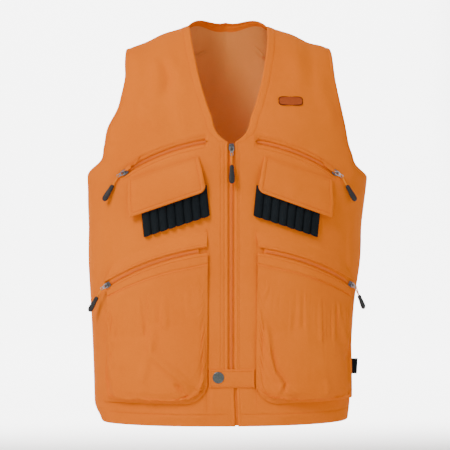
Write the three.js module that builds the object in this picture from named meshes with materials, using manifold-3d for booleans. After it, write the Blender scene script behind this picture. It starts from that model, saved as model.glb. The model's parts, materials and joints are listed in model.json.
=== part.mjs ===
// A hunting vest as it hangs on a body: shell panels, a centre-front zip with a snap tab below it,
// two slanted chest zips, two flaps over cartridge loops, and two bellows pockets with curved zips.
// Millimetres, +Z up, wearer facing -Y. The origin lies between the two neck ends of the shoulder seams.
// "left" and "right" are the wearer's, so left is +X.
import * as THREE from 'three';
import { mergeVertices } from 'three/addons/utils/BufferGeometryUtils.js';
import Module from 'manifold-3d';

const wasm = await Module();
wasm.setup();

// ---- Driving dimensions ----
const HEM_Z = -680;
const ARMPIT_Z = -267;
const NECK_HALF_WIDTH = 69;
const SHOULDER_HALF_WIDTH = 176;
const SHOULDER_SLOPE = 0.4;
const CHEST_HALF_WIDTH = 243;
const HEM_HALF_WIDTH = 221;
const WIDTH_TAPER_POWER = 1.6;
const LEAN = { right: 12, left: -7, from: -250, to: -430 }; // the skirt hangs this much wider on each side
const ROUNDNESS = 2.3; // exponent of the superellipse that each level section follows
const FABRIC = 2; // shell cloth with its facing and lining
const THIN = 0.8; // zip tape, binding, label
const GAP = 0.4; // clearance between pieces that lie on each other
const CURVED_GAP = 1.2; // the same where one curved piece lies over another with other facets
const ARCH_SPAN = 200; // levels above the spring line, from upright cloth to the shoulder seam

const lerp = THREE.MathUtils.lerp;
const degrees = THREE.MathUtils.degToRad;

const FRONT = { sign: -1, depth: 130, spring: -209, ridge: frontRidge };
const BACK = { sign: 1, depth: 112, spring: -180, ridge: backRidge };
const BACK_NECK_RISE = 32; // how far the back neck stands above the line of the shoulders
const BACK_NECK_ANGLE = 55; // where on the arch the back neck edge lies at its centre, in degrees
const SEAM_ANGLE = degrees(89.9); // panels stop just short of the side seam
const SHOULDER_LEVEL_GAP = 0.4;

const ZIP_OPENING = 6.5; // half the gap in which the centre-front chain shows
const POCKET_ZIP_OPENING = 6;
const ZIP_TOP_Z = -209;
const ZIP_BOTTOM_Z = -600;

const COLOURS = {
  blaze: 0xe07a2c,
  lining: 0xbf6f2e,
  cord: 0xf08a30,
  elastic: 0x20242a,
  rubber: 0x141214,
  metal: 0x8c8f92,
  gunmetal: 0x5a6463,
  badge: 0x6a1a10,
};

const material = (colour, roughness = 0.85, metalness = 0) =>
  new THREE.MeshStandardMaterial({ color: colour, roughness, metalness });
const blazeCloth = material(COLOURS.blaze);
const metalFinish = material(COLOURS.metal, 0.3, 1);

const vest = new THREE.Group();

function addMesh(name, geometry, finish = blazeCloth, parent = vest) {
  const mesh = new THREE.Mesh(geometry, finish);
  mesh.name = name;
  parent.add(mesh);
  return mesh;
}

// ---- Closed bodies from rings ----
// A ring's first half runs one way and its second half runs back beside it, so that a strip closes its end.
// The two halves take mirrored diagonals, so a skin's two faces stay parallel.
function loft(rings) {
  const size = rings[0].length;
  const positions = rings.flat().flatMap((p) => [p.x, p.y, p.z]);
  const faces = [];
  for (let row = 0; row + 1 < rings.length; row++) {
    for (let i = 0; i < size; i++) {
      const a = row * size + i;
      const b = row * size + ((i + 1) % size);
      if (i < size / 2) faces.push([a, b, b + size], [a, b + size, a + size]);
      else faces.push([a, b, a + size], [b, b + size, a + size]);
    }
  }
  for (let i = 0; i + 1 < size / 2; i++) {
    const first = [i, i + 1, size - 2 - i, size - 1 - i];
    const last = first.map((k) => k + (rings.length - 1) * size);
    faces.push([first[0], first[2], first[1]], [first[0], first[3], first[2]]);
    faces.push([last[0], last[1], last[2]], [last[0], last[2], last[3]]);
  }
  const volume = faces.reduce((sum, face) => {
    const [p, q, r] = face.map((k) => new THREE.Vector3().fromArray(positions, 3 * k));
    return sum + p.dot(q.cross(r));
  }, 0);
  const turned = volume < 0 ? faces.map(([a, b, c]) => [a, c, b]) : faces;
  const geometry = new THREE.BufferGeometry();
  geometry.setAttribute('position', new THREE.Float32BufferAttribute(positions, 3));
  geometry.setIndex(turned.flat());
  return geometry;
}

// A cloth piece: place(s, t, side) gives a point for s and t from 0 to 1, with side 1 outside and 0 inside.
function clothPiece(columns, rows, place) {
  const across = Array.from({ length: columns + 1 }, (_, i) => i / columns);
  const rings = Array.from({ length: rows + 1 }, (_, j) => [
    ...across.map((s) => place(s, j / rows, 1)),
    ...across.toReversed().map((s) => place(s, j / rows, 0)),
  ]);
  return loft(rings);
}

// ---- Joining and cutting ----
function toSolid(geometry) {
  const bare = (geometry.index ? geometry.toNonIndexed() : geometry.clone());
  bare.deleteAttribute('normal');
  bare.deleteAttribute('uv');
  const merged = mergeVertices(bare, 1e-3);
  return new wasm.Manifold(new wasm.Mesh({
    numProp: 3,
    vertProperties: merged.attributes.position.array,
    triVerts: new Uint32Array(merged.index.array),
  }));
}

function toGeometry(solid) {
  const mesh = solid.getMesh();
  const geometry = new THREE.BufferGeometry();
  geometry.setAttribute('position', new THREE.BufferAttribute(new Float32Array(mesh.vertProperties), 3));
  geometry.setIndex(new THREE.BufferAttribute(new Uint32Array(mesh.triVerts), 1));
  return geometry;
}

const join = (...pieces) => toGeometry(pieces.map(toSolid).reduce((all, piece) => all.add(piece)));
const cut = (whole, tool) => toGeometry(toSolid(whole).subtract(toSolid(tool)));

// ---- The body surface ----
function frontRidge(x) {
  return -SHOULDER_SLOPE * (Math.abs(x) - NECK_HALF_WIDTH);
}

function backRidge(x) {
  const share = Math.min(1, Math.abs(x) / NECK_HALF_WIDTH);
  return frontRidge(x) + BACK_NECK_RISE * (1 - share * share);
}

// toward is negative on the wearer's right and positive on the left.
function halfWidth(level, toward) {
  const share = THREE.MathUtils.clamp((level - HEM_Z) / (ARMPIT_Z - HEM_Z), 0, 1);
  const widest = toward < 0 ? LEAN.right : LEAN.left;
  const lean = widest * THREE.MathUtils.smoothstep(-level, -LEAN.from, -LEAN.to);
  return lerp(HEM_HALF_WIDTH, CHEST_HALF_WIDTH, share ** WIDTH_TAPER_POWER) + lean;
}

// angle runs round the section from the centre (0) to a side seam (90 degrees), and is negative on the
// wearer's right.
// level is the height up to the spring line, and above it runs over the arch to the shoulder seam.
function bodyPoint(face, angle, level) {
  const x = halfWidth(level, angle) * Math.sin(angle);
  const roundedDepth = (1 - Math.abs(Math.sin(angle)) ** ROUNDNESS) ** (1 / ROUNDNESS);
  const arch = Math.max(0, (level - face.spring) / ARCH_SPAN) * Math.PI / 2;
  const z = level > face.spring
    ? face.spring + (face.ridge(x) - face.spring) * Math.sin(arch)
    : level;
  return new THREE.Vector3(x, face.sign * face.depth * roundedDepth * Math.cos(arch), z);
}

function bodyNormal(face, angle, level) {
  const turn = 0.01;
  const inside = Math.sign(angle) * Math.min(Math.abs(angle), Math.PI / 2 - 2 * turn);
  const across = bodyPoint(face, inside + turn, level).sub(bodyPoint(face, inside - turn, level));
  const lower = Math.min(level, face.spring + ARCH_SPAN - 2);
  const up = bodyPoint(face, angle, lower + 1).sub(bodyPoint(face, angle, lower - 1));
  return across.cross(up).normalize().multiplyScalar(-face.sign);
}

function onBody(face, angle, level, offset) {
  return bodyPoint(face, angle, level).addScaledVector(bodyNormal(face, angle, level), offset);
}

// A front-view position (x, z) as the angle and level of the surface there.
function levelAt(face, x, z) {
  if (z <= face.spring) return z;
  const rise = Math.min(1, (z - face.spring) / (face.ridge(x) - face.spring));
  return face.spring + ARCH_SPAN * Math.asin(rise) / (Math.PI / 2);
}

const angleAt = (x, level) => Math.asin(THREE.MathUtils.clamp(x / halfWidth(level, x), -1, 1));

function onFront(x, z, offset) {
  const level = levelAt(FRONT, x, z);
  return onBody(FRONT, angleAt(x, level), level, offset);
}

// An edge given as a few (x, z) points, read as the surface angle at any level.
function edgeCurve(face, points) {
  const knots = points.map(([x, z]) => {
    const level = levelAt(face, x, z);
    return { level, angle: Math.min(angleAt(x, level), SEAM_ANGLE) };
  });
  const slope = (i) => {
    const [a, b] = [knots[Math.max(0, i - 1)], knots[Math.min(knots.length - 1, i + 1)]];
    return (b.angle - a.angle) / (b.level - a.level);
  };
  return (level) => {
    if (level <= knots[0].level) return knots[0].angle;
    const i = Math.min(knots.findLastIndex((k) => k.level <= level), knots.length - 2);
    const [a, b] = [knots[i], knots[i + 1]];
    const span = b.level - a.level;
    const t = THREE.MathUtils.clamp((level - a.level) / span, 0, 1);
    return a.angle * (1 + 2 * t) * (1 - t) ** 2 + b.angle * t * t * (3 - 2 * t)
      + span * (slope(i) * t * (1 - t) ** 2 - slope(i + 1) * t * t * (1 - t));
  };
}

const frontArmhole = edgeCurve(FRONT, [
  [CHEST_HALF_WIDTH, ARMPIT_Z], [220, -245], [207, -215], [197, -175],
  [184, -140], [178, -104], [SHOULDER_HALF_WIDTH, frontRidge(SHOULDER_HALF_WIDTH)],
]);
const frontNeck = edgeCurve(FRONT, [
  [ZIP_OPENING, ZIP_TOP_Z], [14, -203], [34, -162], [49, -115], [60, -62], [NECK_HALF_WIDTH, 0],
]);
const backArmhole = edgeCurve(BACK, [
  [CHEST_HALF_WIDTH, ARMPIT_Z], [214, -238], [190, -195], [177, -145],
  [172, -95], [SHOULDER_HALF_WIDTH, backRidge(SHOULDER_HALF_WIDTH)],
]);

// ---- Shell panels ----
// Rows are evenly spaced below the armpit. Above it they start close together, where the armholes turn in.
const ARMPIT_ROW = 0.45;
const ARMPIT_CROWDING = 1.6;
const topLevel = (face) => face.spring + ARCH_SPAN - SHOULDER_LEVEL_GAP;

function rowLevel(t, top) {
  return t < ARMPIT_ROW
    ? lerp(HEM_Z, ARMPIT_Z, t / ARMPIT_ROW)
    : lerp(ARMPIT_Z, top, ((t - ARMPIT_ROW) / (1 - ARMPIT_ROW)) ** ARMPIT_CROWDING);
}

function flatHem(point, t) {
  if (t === 0) point.z = HEM_Z;
  return point;
}

function frontPanel(side, columns, rows, outside, inside) {
  return clothPiece(columns, rows, (s, t, skin) => {
    const level = rowLevel(t, topLevel(FRONT));
    const inner = level < ZIP_TOP_Z ? angleAt(ZIP_OPENING, level) : frontNeck(level);
    const angle = side * lerp(inner, frontArmhole(level), s);
    return flatHem(onBody(FRONT, angle, level, skin ? outside : inside), t);
  });
}

// The back and its lining share one grid of cells, and the lining leaves out the outermost ones.
const BACK_CELLS = 20;

function backPiece(margin, outside, inside) {
  const cells = BACK_CELLS - 2 * margin;
  return clothPiece(cells, cells, (s, t, skin) => {
    const [column, row] = [s, t].map((share) => (margin + share * cells) / BACK_CELLS);
    const across = 2 * column - 1;
    const shoulderX = CHEST_HALF_WIDTH * Math.sin(across * backArmhole(topLevel(BACK)));
    const neckShare = Math.min(1, Math.abs(shoulderX) / NECK_HALF_WIDTH);
    const archShare = lerp(BACK_NECK_ANGLE / 90, 1, neckShare ** 2);
    const level = rowLevel(row, BACK.spring + (ARCH_SPAN - SHOULDER_LEVEL_GAP) * archShare);
    return flatHem(onBody(BACK, across * backArmhole(level), level, skin ? outside : inside), row);
  });
}

// ---- Zips ----
// A zip runs along a circular arc through three points of the surface, so its slider turns about the arc's
// centre. Its cross-section is banked to stand square on the cloth. Angles run from the inner end outward.
const ZIP_END = 8; // the chain runs this far past the slider's middle at each limit

class ZipArc {
  constructor(side, lift, points) {
    const [inner, middle, outer] = points.map(([x, z]) => onFront(side * x, z, lift));
    const ab = middle.clone().sub(inner);
    const ac = outer.clone().sub(inner);
    const normal = ab.clone().cross(ac);
    const toCentre = normal.clone().cross(ab).multiplyScalar(ac.lengthSq())
      .add(ac.clone().cross(normal).multiplyScalar(ab.lengthSq()))
      .divideScalar(2 * normal.lengthSq());
    this.centre = inner.clone().add(toCentre);
    this.radius = toCentre.length();
    this.axis = normal.normalize();
    this.start = inner.clone().sub(this.centre).normalize();
    this.sweep = this.start.angleTo(outer.clone().sub(this.centre));
    this.end = ZIP_END / this.radius;
    this.up = side; // the axis points up the body on the left and down it on the right

    const level = levelAt(FRONT, middle.x, middle.z);
    const cloth = bodyNormal(FRONT, angleAt(middle.x, level), level);
    const { outward } = this.directions(this.start.angleTo(middle.clone().sub(this.centre)));
    this.bank = Math.atan2(cloth.dot(this.axis), cloth.dot(outward));
  }

  directions(angle) {
    const outward = this.start.clone().applyAxisAngle(this.axis, angle);
    return { outward, forward: this.axis.clone().cross(outward) };
  }

  // A point at a height over the arc and a distance up the body from it.
  at(angle, height, upward) {
    const aside = upward * this.up;
    const [cos, sin] = [Math.cos(this.bank), Math.sin(this.bank)];
    return this.centre.clone()
      .addScaledVector(this.directions(angle).outward, this.radius + height * cos - aside * sin)
      .addScaledVector(this.axis, height * sin + aside * cos);
  }

  frame(angle) {
    const { outward, forward } = this.directions(angle);
    const normal = outward.multiplyScalar(Math.cos(this.bank))
      .addScaledVector(this.axis, Math.sin(this.bank));
    return frameOf(forward, normal, this.at(angle, 0, 0));
  }
}

function sweepAlong(arc, section, extra, steps) {
  const [from, to] = [-arc.end - extra / arc.radius, arc.sweep + arc.end + extra / arc.radius];
  return loft(Array.from({ length: steps + 1 }, (_, i) =>
    section.map(([height, upward]) => arc.at(lerp(from, to, i / steps), height, upward))));
}

// Sections are listed as (height, distance up the body), one half out and the other half back beside it.
const CHAIN = { half: 2.3, low: 0.2, high: 2.4 };
const chainSection = [
  [CHAIN.low, -CHAIN.half], [CHAIN.high, -CHAIN.half * 0.6], [CHAIN.high, CHAIN.half * 0.6],
  [CHAIN.low, CHAIN.half], [CHAIN.low, CHAIN.half * 0.6], [CHAIN.low, -CHAIN.half * 0.6],
];
const TAPE = { half: 7.8, overrun: 1.5, low: -1.3, high: -0.5 };
const strip = (half, low, high) => [
  [high, -half], [high, -half / 3], [high, half / 3], [high, half],
  [low, half], [low, half / 3], [low, -half / 3], [low, -half],
];

const SLIDER = {
  length: 12, width: 10, tail: 7.4, plate: 1.2, wall: 1.7, bridge: 1.6, window: 3.4, pivot: 1.7,
};

function extrude(shape, depth) {
  return new THREE.ExtrudeGeometry(shape, { depth, bevelEnabled: false, curveSegments: 6 });
}

function polygon(points) {
  return new THREE.Shape(points.map(([x, y]) => new THREE.Vector2(x, y)));
}

// The slider sits over the chain: x runs along the zip, y across it, z out from the cloth.
function sliderGeometry() {
  const { length, width, tail, plate, wall, bridge, window } = SLIDER;
  const floor = CHAIN.low + GAP / 2;
  const roof = CHAIN.high + GAP;
  const outline = polygon([
    [-length / 2, -tail / 2], [length / 4, -width / 2], [length / 2, -width / 2.6],
    [length / 2, width / 2.6], [length / 4, width / 2], [-length / 2, tail / 2],
  ]);
  const lid = extrude(outline, plate).translate(0, 0, roof);
  const side = new THREE.BoxGeometry(length * 0.7, wall, roof - floor + 0.2);
  const sideY = CHAIN.half + GAP + wall / 2;
  const walls = [-1, 1].map((s) => side.clone().translate(0, s * sideY, (roof + floor) / 2 + 0.1));
  const top = roof + plate;
  const reach = length * 0.36;
  const thickness = 1.1;
  const arch = polygon([
    [-reach, -0.3], [-reach, window * 0.6], [-reach * 0.6, window + thickness],
    [reach * 0.6, window + thickness], [reach, window * 0.6], [reach, -0.3],
    [reach - thickness, -0.3], [reach - thickness, window * 0.5], [reach * 0.5, window],
    [-reach * 0.5, window], [-reach + thickness, window * 0.5], [-reach + thickness, -0.3],
  ]);
  const bail = extrude(arch, bridge).translate(0, 0, -bridge / 2).rotateX(Math.PI / 2).translate(0, 0, top);
  return join(lid, ...walls, bail);
}

const SLIDER_TOP = CHAIN.high + GAP + SLIDER.plate;
const PULLER = { length: 15, half: 3.5, thickness: 1.2, hole: 11.4 };

// A stamped plate with a window round the bail and an eye for the cord. Its hinge bar lies at x = 0.
function pullerGeometry() {
  const { length, half, thickness, hole } = PULLER;
  const plate = polygon([
    [-0.7, -half], [5.5, -half], [8, -half * 0.7], [length - 1, -half * 0.8], [length, -half * 0.5],
    [length, half * 0.5], [length - 1, half * 0.8], [8, half * 0.7], [5.5, half], [-0.7, half],
  ]);
  const window = [[0.7, -2.3], [0.7, 2.3], [6, 2.3], [6, -2.3]].map((p) => new THREE.Vector2(...p));
  plate.holes.push(new THREE.Path(window));
  plate.holes.push(new THREE.Path().absellipse(hole, 0, 1.9, 1.7, 0, 2 * Math.PI, true));
  return extrude(plate, thickness).translate(0, 0, -thickness / 2);
}

const CORD = { radius: 0.8, rise: 1.75, length: 18.5 };

// The cord loops through the puller's eye at x = 0 and runs to the grip in two strands.
class CordLoop extends THREE.Curve {
  getPoint(t, target = new THREE.Vector3()) {
    const bend = CORD.rise;
    const straight = CORD.length - bend;
    const total = 2 * straight + Math.PI * bend;
    const run = t * total;
    if (run < straight) return target.set(CORD.length - run - bend, 0, bend);
    if (run > total - straight) return target.set(run - (total - straight), 0, -bend);
    const turn = (run - straight) / bend;
    return target.set(-bend * Math.sin(turn), 0, bend * Math.cos(turn));
  }
}

function cordGeometry() {
  const section = new THREE.Shape().absarc(0, 0, CORD.radius, 0, 2 * Math.PI);
  const loop = new THREE.ExtrudeGeometry(section, {
    steps: 14, curveSegments: 6, bevelEnabled: false, extrudePath: new CordLoop(),
  });
  return loop.translate(CORD.rise - CORD.radius, 0, 0);
}

const GRIP = { length: 31, neck: 3.3, waist: 3.6, belly: 4.7, thickness: 4.6 };

// A moulded tab, slim where the cord enters and rounded at its wider end.
function gripGeometry() {
  const { length, neck, waist, belly, thickness } = GRIP;
  const half = [
    [0, neck], [6, waist], [length * 0.7, belly], [length * 0.85, belly * 0.95],
    [length * 0.95, belly * 0.6], [length, belly * 0.2],
  ];
  const outline = polygon([...half.map(([x, y]) => [x, -y]), ...half.toReversed()]);
  return extrude(outline, thickness).translate(0, 0, -thickness / 2);
}

const [sliderShape, pullerShape, cordShape, gripShape] = [
  sliderGeometry(), pullerGeometry(), cordGeometry(), gripGeometry(),
];

// The moving pieces of one zip, nested as they hang: slider, puller, then cord and grip.
function addSlider(name, frame, { lift, swing }) {
  const slider = new THREE.Group();
  slider.applyMatrix4(frame);
  vest.add(slider);
  addMesh(`${name}_slider`, sliderShape, metalFinish, slider);

  const puller = new THREE.Group();
  puller.position.set(0, 0, SLIDER_TOP + SLIDER.pivot);
  puller.rotation.y = -lift;
  slider.add(puller);
  addMesh(`${name}_puller`, pullerShape, metalFinish, puller);

  const pull = new THREE.Group();
  pull.position.set(PULLER.hole, 0, 0);
  pull.rotation.z = swing;
  puller.add(pull);
  addMesh(`${name}_cord`, cordShape, material(COLOURS.cord, 0.7), pull);
  const grip = addMesh(`${name}_grip`, gripShape, material(COLOURS.rubber, 0.5), pull);
  grip.position.x = CORD.length + GAP;
}

function frameOf(forward, outward, position) {
  const across = outward.clone().cross(forward);
  return new THREE.Matrix4().makeBasis(forward, across, outward).setPosition(position);
}

// ---- Patches on the front ----
// outline(s, t) gives (x, z) on the left side, with s outward and t downward. offset(s, t) is the inner
// face's distance from the cloth surface.
function patch(side, columns, rows, thickness, outline, offset) {
  return clothPiece(columns, rows, (s, t, skin) => {
    const [x, z] = outline(s, t);
    return onFront(side * x, z, offset(s, t) + skin * thickness);
  });
}

const between = ([x0, z0], [x1, z1], t) => [lerp(x0, x1, t), lerp(z0, z1, t)];
const smooth = (t) => THREE.MathUtils.smoothstep(t, 0, 1);
const crowdEnds = (t) => (1 - Math.cos(Math.PI * t)) / 2;
const rim = (t, width) => smooth(t / width) * smooth((1 - t) / width);

const SIDES = [['right', -1], ['left', 1]];

// ---- Build: shell ----
addMesh('back_panel', backPiece(0, 0, -FABRIC));
addMesh('back_lining', backPiece(1, -FABRIC - GAP, -FABRIC - GAP - THIN), material(COLOURS.lining));

// ---- The snap under the zip ----
const TAB = { x0: -37.5, x1: 38.5, z0: -616, z1: -585, low: 0.4, thickness: 1 };
const SNAP = { x: -22, z: -598.6, cap: 9.7, capThickness: 1.4, barrel: 2.6, hole: 3, flange: 6 };

const turned = (profile) => new THREE.LatheGeometry(profile.map(([r, y]) => new THREE.Vector2(r, y)), 24);

// Turned pieces of the snap stand on the front, their axis along Y and y = 0 at the cloth surface.
const atSnap = (geometry) => geometry.rotateX(Math.PI).translate(SNAP.x, -FRONT.depth, SNAP.z);
const snapHole = atSnap(new THREE.CylinderGeometry(SNAP.hole, SNAP.hole, 12, 24));

// ---- Build: chest zips ----
const CHEST = { lift: -4.9, slot: 6.5, points: [[50, -209], [110, -225], [178, -257]] };
const LOWER = { lift: 3.6, points: [[63, -391], [137, -412], [202, -446]] };
const STEPS = 16;
const BAG = { bottom: -346, depth: 12, overrun: 24, above: 18, gap: 2.6 };

function addZip(name, arc, pose) {
  addMesh(`${name}_tape`, sweepAlong(arc, strip(TAPE.half, TAPE.low, TAPE.high), TAPE.overrun, STEPS));
  addMesh(`${name}_chain`, sweepAlong(arc, chainSection, 0, STEPS));
  addSlider(name, arc.frame(arc.sweep), pose);
}

for (const [name, side] of SIDES) {
  const arc = new ZipArc(side, CHEST.lift, CHEST.points);
  const slot = sweepAlong(arc, strip(CHEST.slot, 0, 9), 0, STEPS);
  const openings = side < 0 ? join(slot, snapHole) : slot;
  addMesh(`${name}_front_panel`, cut(frontPanel(side, 15, 22, 0, -FABRIC), openings));
  addZip(`${name}_chest_zip`, arc, { lift: degrees(8), swing: side * degrees(-28) });

  const zipLine = (s) => {
    const p = arc.at(lerp(-BAG.overrun / arc.radius, arc.sweep + BAG.overrun / arc.radius, s), 0, 0);
    return [Math.abs(p.x), p.z];
  };
  const bag = patch(side, 10, 8, -THIN, (s, t) => {
    const [x, z] = zipLine(crowdEnds(s));
    return [x, lerp(z + BAG.above, BAG.bottom, crowdEnds(t))];
  }, (s, t) => -FABRIC - BAG.gap - BAG.depth * rim(crowdEnds(s), 0.08) * rim(crowdEnds(t), 0.08));
  addMesh(`${name}_chest_pocket_bag`, bag, material(COLOURS.lining));
}

// ---- Build: flaps over the cartridge loops ----
const FLAP = {
  topInner: [54, -233], topOuter: [172, -271], bottomInner: [46, -292], bottomOuter: [166, -334],
  corner: 16, thickness: 1.6, stand: 9.4,
};
const LOOPS = {
  first: 48, pitch: 13.5, count: 8, top: -281, bottom: -331, depth: 8.2, wall: 1,
  fall: 0.325, level: 45, // the row falls by this share of x, and lies as given at this x
};

function flapOutline(s, t) {
  const [topX, topZ] = between(FLAP.topInner, FLAP.topOuter, s);
  const [bottomX, bottomZ] = between(FLAP.bottomInner, FLAP.bottomOuter, s);
  const drop = THREE.MathUtils.clamp(1 - s * 120 / FLAP.corner, 0, 1);
  const rounded = FLAP.corner * (1 - Math.sqrt(1 - drop * drop));
  return [lerp(topX, bottomX, t), lerp(topZ, bottomZ + rounded, t)];
}

// The loops hang straight down the body and their rows fall outward. Holes run right through.
function cartridgeLoops(side) {
  const level = (LOOPS.top + LOOPS.bottom) / 2;
  const plan = (x, offset) => {
    const p = onBody(FRONT, angleAt(x, level), level, offset);
    return new THREE.Vector2(side * p.x, p.y);
  };
  const start = LOOPS.first - LOOPS.pitch / 2;
  const steps = LOOPS.count * 6;
  const crest = (i) => LOOPS.depth - 2.4 * Math.abs(Math.cos(Math.PI * i / 6)) ** 6;
  const column = (i) => start + LOOPS.pitch * i / 6;
  const front = Array.from({ length: steps + 1 }, (_, i) => plan(column(i), CURVED_GAP + crest(i)));
  const back = Array.from({ length: LOOPS.count * 2 + 1 }, (_, i) => plan(column(3 * i), CURVED_GAP));
  const shape = new THREE.Shape([...front, ...back.toReversed()]);
  for (let loop = 0; loop < LOOPS.count; loop++) {
    const middle = LOOPS.first + LOOPS.pitch * loop;
    const hole = Array.from({ length: 12 }, (_, i) => {
      const turn = 2 * Math.PI * i / 12;
      const [across, out] = [5.7 * Math.cos(turn), (LOOPS.depth / 2 - LOOPS.wall) * Math.sin(turn)];
      return plan(middle + across, CURVED_GAP + LOOPS.depth / 2 + out);
    });
    shape.holes.push(new THREE.Path(hole));
  }
  const block = extrude(shape, LOOPS.top - LOOPS.bottom).translate(0, 0, LOOPS.bottom);
  const fall = new THREE.Matrix4().set(
    1, 0, 0, 0,
    0, 1, 0, 0,
    -LOOPS.fall * side, 0, 1, LOOPS.fall * LOOPS.level,
    0, 0, 0, 1,
  );
  return block.applyMatrix4(fall);
}

for (const [name, side] of SIDES) {
  addMesh(`${name}_cartridge_loops`, cartridgeLoops(side), material(COLOURS.elastic, 0.9));
  const stand = (s, t) => CURVED_GAP + 0.2 + FLAP.stand * smooth(t / 0.7);
  addMesh(`${name}_flap`, patch(side, 12, 7, FLAP.thickness, flapOutline, stand));
}

// ---- Build: bellows pockets ----
const POCKET = {
  inner: 40, top: -356, bottom: -643, corner: 45, outerTop: 194, outerBottom: 213, thickness: 1.4,
  bulge: 21, edge: 0.9, flat: 0.2,
};

// Along the zip both pieces follow the arc, and away from it they lie back down to the cloth.
function arcEdge(arc, side, s, upward) {
  const p = arc.at(lerp(-0.09, arc.sweep + arc.end * 0.2, s), 0, upward);
  const level = levelAt(FRONT, p.x, p.z);
  const onCloth = onFront(p.x, p.z, 0);
  const lift = p.clone().sub(onCloth).dot(bodyNormal(FRONT, angleAt(p.x, level), level));
  return { x: side * p.x, z: p.z, lift: lift + POCKET.edge };
}

for (const [name, side] of SIDES) {
  const arc = new ZipArc(side, LOWER.lift, LOWER.points);
  addZip(`${name}_pocket_zip`, arc, { lift: 0, swing: side * degrees(-25) });

  const facingTop = (s) => [lerp(POCKET.inner, POCKET.outerTop - 2, s), lerp(POCKET.top, -402, s ** 1.5)];
  const facing = patch(side, 14, 4, POCKET.thickness, (s, t) => {
    const edge = arcEdge(arc, side, s, POCKET_ZIP_OPENING);
    return between(facingTop(s), [edge.x, edge.z], t);
  }, (s, t) => lerp(CURVED_GAP, arcEdge(arc, side, s, POCKET_ZIP_OPENING).lift, t));
  addMesh(`${name}_pocket_facing`, facing);

  const bottomZ = (s) => {
    const across = (POCKET.outerBottom - POCKET.inner) * s;
    const inset = Math.max(0, 1 - across / POCKET.corner);
    return POCKET.bottom + POCKET.corner * (1 - Math.sqrt(1 - inset * inset));
  };
  const bellows = patch(side, 14, 14, POCKET.thickness, (s, t) => {
    const column = crowdEnds(s);
    const edge = arcEdge(arc, side, column, -POCKET_ZIP_OPENING);
    const bottom = [lerp(POCKET.inner, POCKET.outerBottom, column), bottomZ(column)];
    return between([edge.x, edge.z], bottom, crowdEnds(t));
  }, (s, t) => {
    const [column, row] = [crowdEnds(s), crowdEnds(t)];
    const lift = arcEdge(arc, side, column, -POCKET_ZIP_OPENING).lift;
    const top = lerp(lift, CURVED_GAP, smooth(row / 0.5));
    const bulge = POCKET.bulge * smooth((row - POCKET.flat) / 0.5) * smooth((1 - row) / 0.14);
    return top + bulge * smooth(column / 0.1) * smooth((1 - column) / 0.1);
  });
  addMesh(`${name}_pocket_bellows`, bellows);
}

// ---- Build: centre-front zip ----
const CENTRE = { offset: -3, tapeHalf: 13, split: 0.15, top: ZIP_TOP_Z - 3 };
const CENTRE_Y = -FRONT.depth - CENTRE.offset;

// A strip of the centre front between two x, two z and two heights over the zip's plane.
function centreStrip([x0, x1], [z0, z1], [low, high]) {
  const box = new THREE.BoxGeometry(x1 - x0, high - low, z1 - z0);
  return box.translate((x0 + x1) / 2, CENTRE_Y - (low + high) / 2, (z0 + z1) / 2);
}

for (const [name, side] of SIDES) {
  const span = (near, far) => [side * near, side * far].toSorted((a, b) => a - b);
  const tapeSpan = span(CENTRE.split, CENTRE.tapeHalf);
  const tape = centreStrip(tapeSpan, [ZIP_BOTTOM_Z - 8, CENTRE.top], [TAPE.low, TAPE.high]);
  addMesh(`main_zip_tape_${name}`, tape);
  const chainSpan = span(CENTRE.split, CHAIN.half);
  const chain = centreStrip(chainSpan, [ZIP_BOTTOM_Z, CENTRE.top], [CHAIN.low, CHAIN.high]);
  addMesh(`main_zip_chain_${name}`, chain);
}
const DOWN = new THREE.Vector3(0, 0, -1);
const FORWARD = new THREE.Vector3(0, -1, 0);
const MAIN_SLIDER_Z = ZIP_TOP_Z - 8;
const mainFrame = frameOf(DOWN, FORWARD, new THREE.Vector3(0, CENTRE_Y, MAIN_SLIDER_Z));
addSlider('main_zip', mainFrame, { lift: degrees(8), swing: 0 });

// ---- Build: snap tab, label, badge, facings and tapes ----
const tabTop = TAB.low + TAB.thickness;
const tabPlate = extrude(polygon([
  [TAB.x1, TAB.z0], [TAB.x1, TAB.z1], [TAB.x0 + 5, TAB.z1], [TAB.x0, TAB.z1 - 5], [TAB.x0, TAB.z0 + 5],
  [TAB.x0 + 5, TAB.z0],
]), TAB.thickness).rotateX(Math.PI / 2).translate(0, -FRONT.depth - TAB.low, 0);
addMesh('snap_tab', cut(tabPlate, snapHole));

const cap = turned([
  [0, -0.2], [SNAP.barrel, -0.2], [SNAP.barrel, tabTop + GAP], [SNAP.cap, tabTop + GAP],
  [SNAP.cap, tabTop + GAP + 0.5], [SNAP.cap - 1, tabTop + GAP + SNAP.capThickness],
  [0, tabTop + GAP + SNAP.capThickness],
]);
addMesh('snap_cap', atSnap(cap), material(COLOURS.gunmetal, 0.3, 1));
const stud = turned([
  [0, -FABRIC - CURVED_GAP - 0.8], [SNAP.flange, -FABRIC - CURVED_GAP - 0.8],
  [SNAP.flange, -FABRIC - CURVED_GAP],
  [SNAP.barrel, -FABRIC - CURVED_GAP], [SNAP.barrel, -0.6], [0, -0.6],
]);
addMesh('snap_stud', atSnap(stud), material(COLOURS.gunmetal, 0.3, 1));

const BADGE = { x: 99.5, z: -139, halfWidth: 20.5, halfHeight: 7.5, thickness: 1, corner: 5 };
const badge = patch(1, 8, 6, BADGE.thickness, (s, t) => {
  const [across, down] = [2 * s - 1, 2 * crowdEnds(t) - 1];
  const inset = BADGE.corner * (1 - Math.sqrt(1 - Math.max(0, Math.abs(down) * 1.6 - 0.6) ** 2));
  return [BADGE.x + across * (BADGE.halfWidth - inset), BADGE.z - down * BADGE.halfHeight];
}, () => CURVED_GAP - 0.4);
addMesh('chest_badge', badge, material(COLOURS.badge));

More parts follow.
